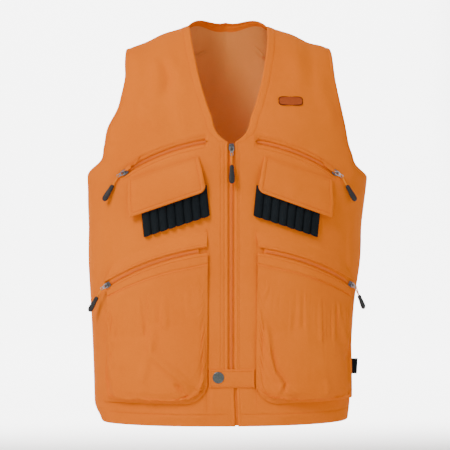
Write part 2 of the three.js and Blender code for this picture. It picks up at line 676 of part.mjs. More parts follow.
const LABEL = { z0: -605, z1: -579, out: 12, into: 0.6, thickness: 1.4 };
const seamX = halfWidth(LABEL.z1, 1);
addMesh('side_label', new THREE.BoxGeometry(LABEL.out - LABEL.into, LABEL.thickness, LABEL.z1 - LABEL.z0)
  .translate(seamX + (LABEL.out + LABEL.into) / 2, 0, (LABEL.z0 + LABEL.z1) / 2), material(COLOURS.elastic));

// Facings line the neck edge inside the fronts.
const FACING = { bottom: -178, belowSeam: 14, width: 24, gap: 1.6 };
for (const [name, side] of SIDES) {
  const facing = clothPiece(3, 14, (s, t, skin) => {
    const level = lerp(levelAt(FRONT, 0, FACING.bottom), FRONT.spring + ARCH_SPAN - FACING.belowSeam, t);
    const inner = frontNeck(level) + 0.004;
    const angle = inner + s * FACING.width / CHEST_HALF_WIDTH;
    return onBody(FRONT, side * angle, level, -FABRIC - FACING.gap - (skin ? 0 : THIN));
  });
  addMesh(`${name}_neck_facing`, facing);
}

// Hanger tapes are sewn inside the back below each shoulder.
const HANGERS = [['right', [-57, -43], [-36, -32]], ['left', [54, -25], [70, -41]]];
const HANGER = { half: 2.6, thickness: 0.8, offset: -FABRIC - THIN - 3 * CURVED_GAP };
for (const [name, from, to] of HANGERS) {
  const along = new THREE.Vector2(to[0] - from[0], to[1] - from[1]).normalize();
  const tape = clothPiece(2, 4, (s, t, skin) => {
    const [x, z] = between(from, to, t);
    const aside = HANGER.half * (2 * s - 1);
    const [px, pz] = [x - along.y * aside, z + along.x * aside];
    const level = levelAt(BACK, px, pz);
    return onBody(BACK, angleAt(px, level), level, HANGER.offset - (skin ? 0 : HANGER.thickness));
  });
  addMesh(`${name}_hanger_tape`, tape);
}

export default vest;
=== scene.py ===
"""Blaze orange vest: cloth, zips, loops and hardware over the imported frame. Lengths in mm until mesh time."""
import json
import math

import bmesh
import bpy
import numpy as np
from mathutils import Matrix, Vector


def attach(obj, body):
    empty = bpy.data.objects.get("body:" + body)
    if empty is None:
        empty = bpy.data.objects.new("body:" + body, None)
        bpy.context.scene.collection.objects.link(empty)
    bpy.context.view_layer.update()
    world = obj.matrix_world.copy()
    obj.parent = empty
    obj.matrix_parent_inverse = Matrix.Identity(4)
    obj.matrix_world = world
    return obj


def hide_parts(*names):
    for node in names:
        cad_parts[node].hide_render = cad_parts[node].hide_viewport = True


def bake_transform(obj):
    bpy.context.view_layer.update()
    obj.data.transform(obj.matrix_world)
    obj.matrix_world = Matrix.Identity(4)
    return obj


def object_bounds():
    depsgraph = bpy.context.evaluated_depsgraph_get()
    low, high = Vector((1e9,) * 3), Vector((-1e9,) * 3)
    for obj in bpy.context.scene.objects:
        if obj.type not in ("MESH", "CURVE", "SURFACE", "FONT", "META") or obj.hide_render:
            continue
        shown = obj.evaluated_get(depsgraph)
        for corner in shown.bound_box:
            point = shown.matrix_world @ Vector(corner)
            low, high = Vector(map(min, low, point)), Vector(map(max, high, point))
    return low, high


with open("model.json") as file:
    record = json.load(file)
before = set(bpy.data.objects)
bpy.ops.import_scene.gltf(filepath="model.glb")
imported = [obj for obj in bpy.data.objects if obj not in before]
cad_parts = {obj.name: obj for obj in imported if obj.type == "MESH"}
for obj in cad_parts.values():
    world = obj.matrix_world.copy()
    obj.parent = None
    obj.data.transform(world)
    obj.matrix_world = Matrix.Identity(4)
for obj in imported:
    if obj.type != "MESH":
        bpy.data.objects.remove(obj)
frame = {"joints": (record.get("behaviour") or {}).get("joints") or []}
cad_low, cad_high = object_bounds()

MM = 0.001
SIDES = (("right", -1), ("left", 1))


# ---------------------------------------------------------------- the body surface
HEM_Z = -680
ARMPIT_Z = -267
NECK_HALF = 69
CHEST_HALF = 243
HEM_HALF = 221
LEAN = {"right": 12, "left": -7, "from": -250, "to": -430}
ROUNDNESS = 2.3
ARCH_SPAN = 200
FRONT = {"sign": -1, "depth": 130, "spring": -209}
BACK = {"sign": 1, "depth": 112, "spring": -180}
FRONT_Y = -FRONT["depth"]
ZIP_TOP_Z = -209


def clamp01(t):
    return np.clip(t, 0.0, 1.0)


def smooth(t):
    t = clamp01(t)
    return t * t * (3 - 2 * t)


def lerp(a, b, t):
    return a + (b - a) * t


def ridge(face, x):
    slope = -0.4 * (np.abs(x) - NECK_HALF)
    if face is FRONT:
        return slope
    share = clamp01(np.abs(x) / NECK_HALF)
    return slope + 32 * (1 - share * share)


def half_width(level, toward):
    """toward is negative on the wearer's right and positive on the left."""
    share = clamp01((level - HEM_Z) / (ARMPIT_Z - HEM_Z))
    lean = np.where(np.asarray(toward) < 0, LEAN["right"], LEAN["left"])
    return HEM_HALF + (CHEST_HALF - HEM_HALF) * share**1.6 + lean * smooth((LEAN["from"] - level) / 180)


def body_point(face, angle, level):
    x = half_width(level, angle) * np.sin(angle)
    rounded = (1 - np.abs(np.sin(angle)) ** ROUNDNESS) ** (1 / ROUNDNESS)
    arch = np.maximum(0, (level - face["spring"]) / ARCH_SPAN) * math.pi / 2
    over = face["spring"] + (ridge(face, x) - face["spring"]) * np.sin(arch)
    z = np.where(level > face["spring"], over, level)
    y = face["sign"] * face["depth"] * rounded * np.cos(arch)
    return np.stack(np.broadcast_arrays(x, y, z), axis=-1)


def unit(v):
    return v / np.maximum(np.linalg.norm(v, axis=-1, keepdims=True), 1e-9)


def body_normal(face, angle, level):
    turn = 0.01
    limit = math.pi / 2 - 2 * turn
    inside = np.clip(angle, -limit, limit)
    across = body_point(face, inside + turn, level) - body_point(face, inside - turn, level)
    lower = np.minimum(level, face["spring"] + ARCH_SPAN - 2)
    up = body_point(face, angle, lower + 1) - body_point(face, angle, lower - 1)
    return unit(np.cross(across, up)) * -face["sign"]


def level_at(face, x, z):
    spring = face["spring"]
    rise = clamp01((z - spring) / (ridge(face, x) - spring))
    return np.where(z <= spring, z, spring + ARCH_SPAN * np.arcsin(rise) / (math.pi / 2))


def angle_at(x, level):
    return np.arcsin(np.clip(x / half_width(level, x), -1, 1))


def on_body(face, angle, level, offset):
    normal = body_normal(face, angle, level)
    return body_point(face, angle, level) + normal * np.asarray(offset)[..., None]


def on_front(x, z, offset):
    x, z, offset = np.broadcast_arrays(np.asarray(x, float), np.asarray(z, float), np.asarray(offset, float))
    level = level_at(FRONT, x, z)
    return on_body(FRONT, angle_at(x, level), level, offset)


def monotone_curve(xs, ys):
    """A smooth curve through a few knots, as a function of x."""
    xs, ys = np.asarray(xs, float), np.asarray(ys, float)
    slopes = np.gradient(ys, xs)

    def value(x):
        i = np.clip(np.searchsorted(xs, x, side="right") - 1, 0, len(xs) - 2)
        span = xs[i + 1] - xs[i]
        t = clamp01((x - xs[i]) / span)
        a, b = ys[i], ys[i + 1]
        bend = span * (slopes[i] * t * (1 - t) ** 2 - slopes[i + 1] * t * t * (1 - t))
        return a * (1 + 2 * t) * (1 - t) ** 2 + b * t * t * (3 - 2 * t) + bend

    return value


# ---------------------------------------------------------------- camera, floor and light
CAMERA_AT = (-0.136, -2.6, -0.346)
CAMERA_TURN = 2.9
LENS = 119.5

camera_data = bpy.data.cameras.new("camera")
camera_data.lens = LENS
camera_data.sensor_width = 36
camera = bpy.data.objects.new("camera", camera_data)
bpy.context.collection.objects.link(camera)
camera.location = CAMERA_AT
camera.rotation_euler = (math.radians(90), 0, -math.radians(CAMERA_TURN))
bpy.context.scene.camera = camera

FLOOR_DROP = 0.12
GLOW = 5.0
GLOW_FROM = (0.2, 0.9)
GLOW_HALF_WIDTH = 1.0  # beyond this the backdrop's glow fades away
GLOW_TOP = 0.75
GLOW_FADE = 0.5


def floor_material():
    """Plain pale paper. Well behind the object it glows, as a lit backdrop does."""
    made = bpy.data.materials.new("floor")
    made.use_nodes = True
    nodes, links = made.node_tree.nodes, made.node_tree.links
    shader = nodes["Principled BSDF"]
    shader.inputs["Base Color"].default_value = (0.93, 0.93, 0.93, 1)
    shader.inputs["Roughness"].default_value = 0.9
    shader.inputs["Emission Color"].default_value = (1, 1, 1, 1)
    place = nodes.new("ShaderNodeSeparateXYZ")
    links.new(nodes.new("ShaderNodeTexCoord").outputs["Object"], place.inputs[0])
    off_centre = nodes.new("ShaderNodeMath")
    off_centre.operation = "ABSOLUTE"
    links.new(place.outputs["X"], off_centre.inputs[0])

    def ramp(source, start, end, first, last):
        node = nodes.new("ShaderNodeMapRange")
        node.interpolation_type = "SMOOTHSTEP"
        for socket, value in (("From Min", start), ("From Max", end), ("To Min", first), ("To Max", last)):
            node.inputs[socket].default_value = value
        links.new(source, node.inputs["Value"])
        return node.outputs[0]

    glow = ramp(place.outputs["Y"], *GLOW_FROM, 0, GLOW)
    for fading in (
        ramp(off_centre.outputs[0], GLOW_HALF_WIDTH, GLOW_HALF_WIDTH + GLOW_FADE, 1, 0),
        ramp(place.outputs["Z"], GLOW_TOP, GLOW_TOP + GLOW_FADE, 1, 0),
    ):
        product = nodes.new("ShaderNodeMath")
        product.operation = "MULTIPLY"
        links.new(glow, product.inputs[0])
        links.new(fading, product.inputs[1])
        glow = product.outputs[0]
    links.new(glow, shader.inputs["Emission Strength"])
    return made


def add_floor():
    size, wall, bend = 9.0, 5.0, 1.4
    depth = cad_low.z - FLOOR_DROP
    profile = [(-size, depth)]
    for i in range(13):
        turn = math.pi / 2 * i / 12
        profile.append((2.2 + bend * math.sin(turn), depth + bend * (1 - math.cos(turn))))
    profile.append((2.2 + bend, depth + wall))
    verts = [(x, y, z) for y, z in profile for x in (-size, size)]
    faces = [(2 * i, 2 * i + 1, 2 * i + 3, 2 * i + 2) for i in range(len(profile) - 1)]
    mesh = bpy.data.meshes.new("floor")
    mesh.from_pydata(verts, [], faces)
    mesh.shade_smooth()
    floor = bpy.data.objects.new("floor", mesh)
    bpy.context.collection.objects.link(floor)
    floor.data.materials.append(floor_material())


def add_area(name, place, target, size, power):
    data = bpy.data.lights.new(name, "AREA")
    data.shape = "RECTANGLE"
    data.size, data.size_y = size
    data.energy = power
    lamp = bpy.data.objects.new(name, data)
    bpy.context.collection.objects.link(lamp)
    lamp.location = place
    aim = Vector(target) - Vector(place)
    lamp.rotation_euler = aim.to_track_quat("-Z", "Y").to_euler()


add_floor()
add_area("key", (-1.9, -2.2, 1.9), (0, 0, -0.35), (1.2, 1.2), 106)
add_area("fill", (2.2, -2.4, 0.2), (0, 0, -0.35), (2.0, 2.4), 15)
add_area("back_light", (0.3, 2.0, 2.0), (0, 0, -0.2), (2.4, 1.2), 20)
world = bpy.data.worlds.new("studio")
bpy.context.scene.world = world
world.use_nodes = True
world.node_tree.nodes["Background"].inputs["Color"].default_value = (1, 1, 1, 1)
world.node_tree.nodes["Background"].inputs["Strength"].default_value = 0.52


# ---------------------------------------------------------------- materials
class Nodes:
    """A short way to lay out one material's nodes."""

    def __init__(self, name):
        self.material = bpy.data.materials.new(name)
        self.material.use_nodes = True
        self.tree = self.material.node_tree
        self.shader = self.tree.nodes["Principled BSDF"]

    def add(self, kind, values=None, links=None, **settings):
        node = self.tree.nodes.new(kind)
        for key, value in settings.items():
            setattr(node, key, value)
        for key, value in (values or {}).items():
            node.inputs[key].default_value = value
        for key, source in (links or {}).items():
            self.tree.links.new(source, node.inputs[key])
        return node

    def math(self, operation, a, b):
        node = self.add("ShaderNodeMath", operation=operation)
        for i, value in enumerate((a, b)):
            if isinstance(value, (int, float)):
                node.inputs[i].default_value = value
            else:
                self.tree.links.new(value, node.inputs[i])
        return node.outputs[0]

    def link(self, source, name):
        self.tree.links.new(source, self.shader.inputs[name])

    def set(self, **values):
        for key, value in values.items():
            self.shader.inputs[key.replace("_", " ")].default_value = value


def cloth_material(name, light, dark, pitch=0.8, bump=0.5, roughness=0.9, sheen=0.05, speckle=0.35):
    """Twill cloth: diagonal ribs and cross threads from the UV map (mm), with slow and fine colour drift."""
    n = Nodes(name)
    uv = n.add("ShaderNodeUVMap", uv_map="cloth").outputs[0]
    axes = n.add("ShaderNodeSeparateXYZ", links={0: uv})
    diagonal = n.math("ADD", axes.outputs[0], axes.outputs[1])
    ribs = n.math("SINE", n.math("MULTIPLY", diagonal, 2 * math.pi / pitch), 0)
    weft = n.math("SINE", n.math("MULTIPLY", axes.outputs[1], 2 * math.pi / (pitch * 0.7)), 0)
    weave = n.math("ADD", ribs, n.math("MULTIPLY", weft, 0.4))
    place = n.add("ShaderNodeTexCoord").outputs["Object"]
    drift = n.add("ShaderNodeTexNoise", {"Scale": 9, "Detail": 3}, {"Vector": place}).outputs[0]
    fleck = n.add("ShaderNodeTexNoise", {"Scale": 420, "Detail": 2}, {"Vector": place}).outputs[0]
    mixed = n.math("ADD", n.math("MULTIPLY", drift, 1 - speckle), n.math("MULTIPLY", fleck, speckle))
    ramp = n.add("ShaderNodeValToRGB", links={0: mixed})
    ramp.color_ramp.elements[0].position = 0.3
    ramp.color_ramp.elements[0].color = (*dark, 1)
    ramp.color_ramp.elements[1].position = 0.68
    ramp.color_ramp.elements[1].color = (*light, 1)
    slub = n.add("ShaderNodeTexNoise", {"Scale": 150, "Detail": 3}, {"Vector": place}).outputs[0]
    height = n.math("ADD", n.math("MULTIPLY", weave, 0.35), n.math("MULTIPLY", fleck, 1.2))
    height = n.math("ADD", height, n.math("MULTIPLY", slub, 3.0))
    bumped = n.add("ShaderNodeBump", {"Strength": bump, "Distance": 0.0003}, {"Height": height})
    n.link(ramp.outputs[0], "Base Color")
    n.link(bumped.outputs[0], "Normal")
    n.set(Roughness=roughness, Sheen_Weight=sheen, Sheen_Roughness=0.5, Sheen_Tint=(*light, 1))
    n.shader.inputs["Specular IOR Level"].default_value = 0.05
    return n.material


def hard_material(name, colour, roughness, metallic=0.0, grain=60, bump=0.1, dark=0.75):
    """Metal, rubber or plastic, with a little unevenness in colour, gloss and surface."""
    n = Nodes(name)
    place = n.add("ShaderNodeTexCoord").outputs["Object"]
    noise = n.add("ShaderNodeTexNoise", {"Scale": grain * 10, "Detail": 4}, {"Vector": place}).outputs[0]
    ramp = n.add("ShaderNodeValToRGB", links={0: noise})
    ramp.color_ramp.elements[0].position = 0.35
    ramp.color_ramp.elements[0].color = (*[c * dark for c in colour], 1)
    ramp.color_ramp.elements[1].position = 0.65
    ramp.color_ramp.elements[1].color = (*colour, 1)
    gloss = n.add(
        "ShaderNodeMapRange", {"To Min": roughness * 0.8, "To Max": roughness * 1.25}, {"Value": noise}
    )
    bumped = n.add("ShaderNodeBump", {"Strength": bump, "Distance": 0.0002}, {"Height": noise})
    n.link(ramp.outputs[0], "Base Color")
    n.link(gloss.outputs[0], "Roughness")
    n.link(bumped.outputs[0], "Normal")
    n.set(Metallic=metallic)
    return n.material


BLAZE = cloth_material("blaze_twill", (0.86, 0.190, 0.008), (0.80, 0.163, 0.005))
LINING = cloth_material("lining_cloth", (0.86, 0.33, 0.085), (0.80, 0.30, 0.07), sheen=0.1)
TAPE = cloth_material("zip_tape_cloth", (0.95, 0.225, 0.009), (0.88, 0.195, 0.007), pitch=0.8, bump=0.4)
THREAD = cloth_material("stitch_thread", (0.80, 0.165, 0.007), (0.72, 0.140, 0.005), pitch=0.2, roughness=0.6)
COIL = hard_material("zip_coil_nylon", (0.94, 0.215, 0.006), 0.7, grain=80, dark=0.9)
PALE_TAPE = cloth_material("hanger_tape_cloth", (0.82, 0.33, 0.085), (0.76, 0.28, 0.065), pitch=0.9)
CORD = cloth_material("pull_cord_braid", (0.95, 0.30, 0.015), (0.88, 0.25, 0.010), pitch=0.7, bump=0.5)
ELASTIC = cloth_material(
    "black_elastic", (0.014, 0.018, 0.021), (0.007, 0.009, 0.011), pitch=1.1, bump=0.8, sheen=0.1
)
RUBBER = hard_material("grip_rubber", (0.009, 0.008, 0.009), 0.5, grain=90, bump=0.25)
STEEL = hard_material("zip_steel", (0.50, 0.50, 0.51), 0.3, metallic=1.0, grain=70, dark=0.6)
ZIP_BODY = hard_material("zip_slider_metal", (0.20, 0.20, 0.21), 0.32, metallic=1.0, grain=70, dark=0.6)
GUNMETAL = hard_material("snap_gunmetal", (0.12, 0.14, 0.135), 0.38, metallic=0.7, grain=40, dark=0.7)
BADGE = cloth_material(
    "badge_weave", (0.42, 0.085, 0.022), (0.34, 0.062, 0.016), pitch=0.9, bump=0.5, sheen=0.1
)
BADGE_EDGE = cloth_material(
    "badge_border", (0.070, 0.009, 0.006), (0.045, 0.006, 0.004), pitch=0.7, bump=0.6, sheen=0.1
)


# ---------------------------------------------------------------- meshes
def finish_piece(name, mesh, material, body, replaced=(), sharp=38):
    mesh.validate()
    mesh.shade_smooth()
    mesh.set_sharp_from_angle(angle=math.radians(sharp))
    piece = bpy.data.objects.new(name, mesh)
    bpy.context.collection.objects.link(piece)
    mesh.materials.append(material)
    if body:
        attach(piece, body)
    if replaced:
        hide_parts(*replaced)
    return piece


def grid_lengths(points):
    """U along rows and V along columns, in mm of cloth from the middle of the grid."""
    steps_u = np.linalg.norm(np.diff(points, axis=1), axis=-1)
    steps_v = np.linalg.norm(np.diff(points, axis=0), axis=-1)
    u = np.concatenate([np.zeros((points.shape[0], 1)), np.cumsum(steps_u, axis=1)], axis=1)
    v = np.concatenate([np.zeros((1, points.shape[1])), np.cumsum(steps_v, axis=0)], axis=0)
    return np.stack([u, v], axis=-1)


def grid_normals(points):
    across = np.gradient(points, axis=1)
    along = np.gradient(points, axis=0)
    return unit(np.cross(across, along))


def cloth_mesh(name, points, thickness, outward):
    """A cloth skin from a grid of outer points (rows, columns, 3), with its inner face and its edges."""
    rows, columns, _ = points.shape
    normals = grid_normals(points)
    if np.sum(normals * outward) < 0:
        normals = -normals
    inner = points - normals * thickness
    verts = np.concatenate([points.reshape(-1, 3), inner.reshape(-1, 3)]) * MM
    index = np.arange(rows * columns).reshape(rows, columns)
    quads = np.stack([index[:-1, :-1], index[:-1, 1:], index[1:, 1:], index[1:, :-1]], axis=-1).reshape(-1, 4)
    along = np.cross(points[0, 1] - points[0, 0], points[1, 0] - points[0, 0])
    flip = np.dot(along, normals[0, 0]) < 0
    outer_faces = quads[:, ::-1] if flip else quads
    inner_faces = outer_faces[:, ::-1] + rows * columns
    border = np.concatenate([index[0, :], index[1:, -1], index[-1, -2::-1], index[-2:0:-1, 0]])
    following = np.roll(border, -1)
    rim = np.stack([border, border + rows * columns, following + rows * columns, following], axis=-1)
    rim = rim[:, ::-1] if flip else rim
    faces = np.concatenate([outer_faces, inner_faces, rim])
    mesh = bpy.data.meshes.new(name)
    mesh.from_pydata(verts.tolist(), [], faces.tolist())
    lengths = grid_lengths(points).reshape(-1, 2)
    uv_layer = mesh.uv_layers.new(name="cloth")
    uv = np.concatenate([lengths, lengths])[faces.reshape(-1)]
    uv_layer.data.foreach_set("uv", uv.astype(np.float32).reshape(-1))
    return mesh


def add_cloth(name, points, thickness, material, body, replaced=(), outward=(0, -1, 0)):
    mesh = cloth_mesh(name, points, thickness, np.asarray(outward, float))
    return finish_piece(name, mesh, material, body, replaced)


# ---------------------------------------------------------------- zip paths
class ZipArc:
    """A zip along a circular arc through three points of the surface. Its slider turns about the arc's centre."""

    END = 8

    def __init__(self, side, lift, points):
        inner, middle, outer = (on_front(side * x, z, lift) for x, z in points)
        ab, ac = middle - inner, outer - inner
        normal = np.cross(ab, ac)
        to_centre = np.cross(normal, ab) * ac.dot(ac) + np.cross(ac, normal) * ab.dot(ab)
        to_centre = to_centre / (2 * normal.dot(normal))
        self.centre = inner + to_centre
        self.radius = np.linalg.norm(to_centre)
        self.axis = unit(normal)
        self.start = unit(inner - self.centre)
        self.sweep = self._turn_to(outer)
        self.end = self.END / self.radius
        self.up = side
        level = level_at(FRONT, middle[0], middle[2])
        cloth = body_normal(FRONT, angle_at(middle[0], level), level)
        outward, _ = self.directions(self._turn_to(middle))
        self.bank = math.atan2(cloth.dot(self.axis), cloth.dot(outward))

    def _turn_to(self, point):
        return math.acos(np.clip(unit(point - self.centre).dot(self.start), -1, 1))

    def directions(self, angle):
        angle = np.asarray(angle, float)[..., None]
        side = np.cross(self.axis, self.start)
        outward = self.start * np.cos(angle) + side * np.sin(angle)
        return outward, np.cross(self.axis, outward)

    def normal(self, angle):
        outward, _ = self.directions(angle)
        return outward * math.cos(self.bank) + self.axis * math.sin(self.bank)

    def at(self, angle, height, upward):
        height = np.asarray(height, float)[..., None]
        aside = np.asarray(upward, float)[..., None] * self.up
        outward, _ = self.directions(angle)
        cos, sin = math.cos(self.bank), math.sin(self.bank)
        reach = self.radius + height * cos - aside * sin
        return self.centre + outward * reach + self.axis * (height * sin + aside * cos)

    def frame(self, angle):
        _, forward = self.directions(angle)
        outward = self.normal(angle)
        across = np.cross(outward, forward)
        place = self.at(angle, 0, 0) * MM
        rows = [[forward[i], across[i], outward[i], place[i]] for i in range(3)]
        return Matrix([*rows, [0, 0, 0, 1]])


CHEST_ZIP = {side: ZipArc(side, -4.9, [(50, -209), (110, -225), (178, -257)]) for _, side in SIDES}
LOWER_ZIP = {side: ZipArc(side, 3.6, [(63, -391), (137, -412), (202, -446)]) for _, side in SIDES}


def zip_line(arc, reach=0.0):
    """The zip's height z as a function of |x|, carried straight on past its ends."""
    angles = np.linspace(-arc.end - reach, arc.sweep + arc.end + reach, 60)
    points = arc.at(angles, 0, 0)
    xs, zs = np.abs(points[:, 0]), points[:, 2]

    def z_at(x):
        inside = np.interp(x, xs, zs)
        first = (zs[1] - zs[0]) / (xs[1] - xs[0])
        last = (zs[-1] - zs[-2]) / (xs[-1] - xs[-2])
        inside = np.where(x < xs[0], zs[0] + first * (x - xs[0]), inside)
        return np.where(x > xs[-1], zs[-1] + last * (x - xs[-1]), inside)

    return z_at, xs[0], xs[-1]


# ---------------------------------------------------------------- folds of the cloth
def distance_to_path(x, z, path):
    """Distance from each (x, z) to a polyline, and how far along it (0 to 1) the nearest point lies."""
    path = np.asarray(path, float)
    best = np.full(np.shape(x), 1e9)
    along = np.zeros(np.shape(x))
    lengths = np.linalg.norm(np.diff(path, axis=0), axis=1)
    total = lengths.sum()
    before = 0.0
    for a, b, length in zip(path[:-1], path[1:], lengths):
        t = clamp01(((x - a[0]) * (b[0] - a[0]) + (z - a[1]) * (b[1] - a[1])) / length**2)
        gap = np.hypot(x - a[0] - t * (b[0] - a[0]), z - a[1] - t * (b[1] - a[1]))
        nearer = gap < best
        best = np.where(nearer, gap, best)
        along = np.where(nearer, (before + t * length) / total, along)
        before += length
    return best, along


def folds(x, z, creases):
    """Soft ridges and valleys: each crease is (path, half width, height)."""
    total = np.zeros(np.broadcast(x, z).shape)
    for path, width, height in creases:
        gap, along = distance_to_path(x, z, path)
        taper = smooth(along / 0.25) * smooth((1 - along) / 0.25)
        total = total + height * np.exp(-((gap / width) ** 2)) * (0.15 + 0.85 * taper)
    return total


FRONT_FOLDS = [
    ([(-132, -58), (-121, -95), (-127, -140)], 11, 3.4),
    ([(-108, -54), (-88, -90), (-76, -135)], 12, 2.4),
    ([(-112, -70), (-104, -100), (-108, -128)], 6, -1.8),
    ([(-168, -110), (-140, -150), (-112, -196)], 13, 2.6),
    ([(-176, -140), (-156, -175), (-128, -205)], 10, -1.8),
    ([(-96, -120), (-84, -160), (-72, -196)], 12, 1.8),
    ([(-190, -210), (-202, -250), (-206, -310)], 14, 2.4),
    ([(108, -55), (118, -90), (112, -120)], 14, 1.6),
    ([(150, -80), (158, -130), (178, -190)], 12, 1.8),
    ([(196, -215), (208, -260), (206, -320)], 12, 1.8),
    ([(-214, -330), (-206, -390), (-212, -440)], 10, 2.4),
    ([(212, -320), (204, -380), (212, -440)], 10, 2.2),
    ([(-150, -672), (-90, -662), (-30, -668)], 9, 1.2),
    ([(60, -668), (120, -660), (180, -668)], 9, 1.2),
]
BACK_FOLDS = [
    ([(-120, -90), (-90, -200), (-100, -330)], 22, 4),
    ([(110, -110), (86, -230), (96, -380)], 22, 3.6),
    ([(-30, -60), (-14, -160), (-22, -280)], 18, 2.2),
    ([(40, -330), (30, -450), (52, -600)], 26, 3.4),
    ([(-150, -360), (-120, -480), (-140, -620)], 24, 3.6),
    ([(170, -300), (155, -430), (168, -600)], 20, 3.2),
]


def ripple(x, z, size, height, seed):
    """A slow uneven swell of the cloth, from a few crossed waves."""
    rng = np.random.default_rng(seed)
    total = np.zeros(np.broadcast(x, z).shape)
    for _ in range(7):
        turn = rng.uniform(0, math.pi)
        pitch = size * rng.uniform(0.7, 1.6)
        phase = rng.uniform(0, 2 * math.pi)
        total += np.sin((x * math.cos(turn) + z * math.sin(turn)) * 2 * math.pi / pitch + phase)
    return total * height / 7


CHEST_LINE, CHEST_X0, CHEST_X1 = zip_line(CHEST_ZIP[1])


def seam_shape(angle, x, z):
    """How the side and shoulder seams sit off the plain body. The fronts and the back share it."""
    at_side = smooth((np.abs(angle) - 1.0) / 0.5)
    low = smooth((-640 - z) / 42) ** 2
    right = -2.5 * smooth((-300 - z) / 60) - 11 * low
    left = -1.5 * smooth((-300 - z) / 60) - 3 * low + 7.0 * np.exp(-(((z + 405) / 55) ** 2))
    ax = np.abs(x)
    shoulder = 3 * np.exp(-(((ax - 111) / 22) ** 2)) + np.where(x > 0, 4.5, 1.0) * smooth((ax - 135) / 30)
    return at_side * np.where(x < 0, right, left) + shoulder * smooth((z + 110) / 60)


def shell_relief(face, angle, x, z):
    """The cloth's height over the plain body, from its folds, its slow swell and the shape of its seams."""
    ax = np.abs(x)
    near_seam = smooth((1.5 - np.abs(angle)) / 0.12) * smooth((ridge(face, x) - z) / 16)
    swell = ripple(x, z, 150, 1.6, 4) if face is FRONT else ripple(x, z, 190, 2.0, 9)
    creases = 1.3 * folds(x, z, FRONT_FOLDS if face is FRONT else BACK_FOLDS)
    calm = near_seam * smooth((z - HEM_Z) / 24 + 0.3)
    if face is FRONT:
        near_zip = np.exp(-(((z - CHEST_LINE(ax)) / 20) ** 2)) * smooth((CHEST_X1 + 14 - ax) / 10)
        pocket = smooth((-340 - z) / 20) * smooth((z + 650) / 15) * smooth((205 - ax) / 10) * smooth((ax - 36) / 6)
        flap = smooth((-222 - z) / 14) * smooth((z + 372) / 20) * smooth((182 - ax) / 14)
        calm = calm * (1 - near_zip) * (1 - np.exp(-((ax / 40) ** 4))) * (1 - pocket) * (1 - 0.8 * flap)
    return calm * (creases + swell) + seam_shape(angle, x, z)


# ---------------------------------------------------------------- fronts
OPENING = 5.4
VENT_EDGE = {-1: -4.5, 1: 9.0}  # the fronts' inner edges below the snap tab, outward from the centre
LIP = 4.5
LIP_DIP = 2.6  # how far the lips of a chest zip slope down to it
CLOTH = 2.0
SEAM_ANGLE = math.pi / 2
SEAM_X = 40


def curve_on(face, side, points, seam=SEAM_ANGLE):
    """An edge given as a few (x, z) points, as the surface angle at any level."""
    xs, zs = np.asarray(points, float).T
    levels = level_at(face, xs, zs)
    angles = np.minimum(np.abs(angle_at(side * xs, levels)), seam)
    angles = np.where(xs >= CHEST_HALF, seam, angles)
    return monotone_curve(levels, angles)


ARMHOLES = {
    -1: curve_on(FRONT, -1, [(243, -264), (222, -240), (214, -214), (208, -184), (190, -150), (184, -128),
                             (178, -100), (178, -72), (176, -43)]),
    1: curve_on(FRONT, 1, [(243, -270), (221, -249), (207, -222), (196, -175), (186, -128), (181, -100),
                           (176, -43)]),
}
NECK_EDGE = curve_on(FRONT, 1, [(OPENING, -209), (14, -203), (34, -162), (49, -115), (60, -62), (69, 0)])


def fine_steps(total, near_start, near_end, coarse=3.2):
    """Spacing from 0 to 1 over a length in mm, in steps of 1 mm within the given lengths of either end."""
    start = np.concatenate([[0, 0.5], np.arange(1, near_start + 0.1, 1.0)]) if near_start else np.array([0.0])
    end = np.concatenate([[0, 0.5], np.arange(1, near_end + 0.1, 1.0)]) if near_end else np.array([0.0])
    middle = total - start[-1] - end[-1]
    count = max(2, int(round(middle / coarse)))
    between = start[-1] + middle * np.arange(1, count) / count
    return np.concatenate([start, between, total - end[::-1]]) / total


def fill_patch(bottom, top, left, right, s, t):
    """A patch between four edges: bottom and top are (columns, 2), left and right (rows, 2).
    The side edges' curves fade quickly inward, so the patch doesn't fold over itself."""
    s, t = s[None, :, None], t[:, None, None]
    bowed_left = left[:, None] - lerp(bottom[0], top[0], t)
    bowed_right = right[:, None] - lerp(bottom[-1], top[-1], t)
    return lerp(bottom[None], top[None], t) + (1 - s) ** 3 * bowed_left + s**3 * bowed_right


def bump_line(distance, at, width, height):
    return height * np.exp(-(((distance - at) / width) ** 2))


def zip_gap(x):
    """Half the height of the opening for the chest zip, closing at both ends."""
    inside = smooth((x - CHEST_X0 + 1) / 3) * smooth((CHEST_X1 + 1 - x) / 3)
    return LIP * inside


def edge_profile(distance, stitch_at):
    """Cloth turned in at an edge: it rolls down, swells over its fold and dips along its stitches."""
    roll = -1.1 * np.exp(-((distance / 0.9) ** 2))
    swell = 0.45 * smooth(distance / 2) * (1 - smooth((distance - stitch_at + 1.5) / 2))
    return roll + swell + bump_line(distance, stitch_at, 0.9, -0.45)


def skin_point(side, x, z, lift):
    """A point of the front's cloth at |x| and z, lifted off it, with the surface normal there."""
    x, z = np.broadcast_arrays(side * np.asarray(x, float), np.asarray(z, float))
    level = level_at(FRONT, x, z)
    angle = angle_at(x, level)
    normal = body_normal(FRONT, angle, level)
    height = shell_relief(FRONT, angle, x, z) + lift
    return body_point(FRONT, angle, level) + normal * height[..., None], normal


def inner_edge(side, z):
    """Where the front's inner edge lies at z, outward from the centre. Below the tab the fronts all but meet."""
    vent = VENT_EDGE[side] + side * 2.0 * smooth((-620 - z) / 60)
    return lerp(OPENING, vent, smooth((-594 - z) / 16))


def outward_angle(side, x, level):
    angle = np.minimum(side * angle_at(side * x, level), SEAM_ANGLE)
    return np.where(np.asarray(x) >= CHEST_HALF - 0.01, SEAM_ANGLE, angle)


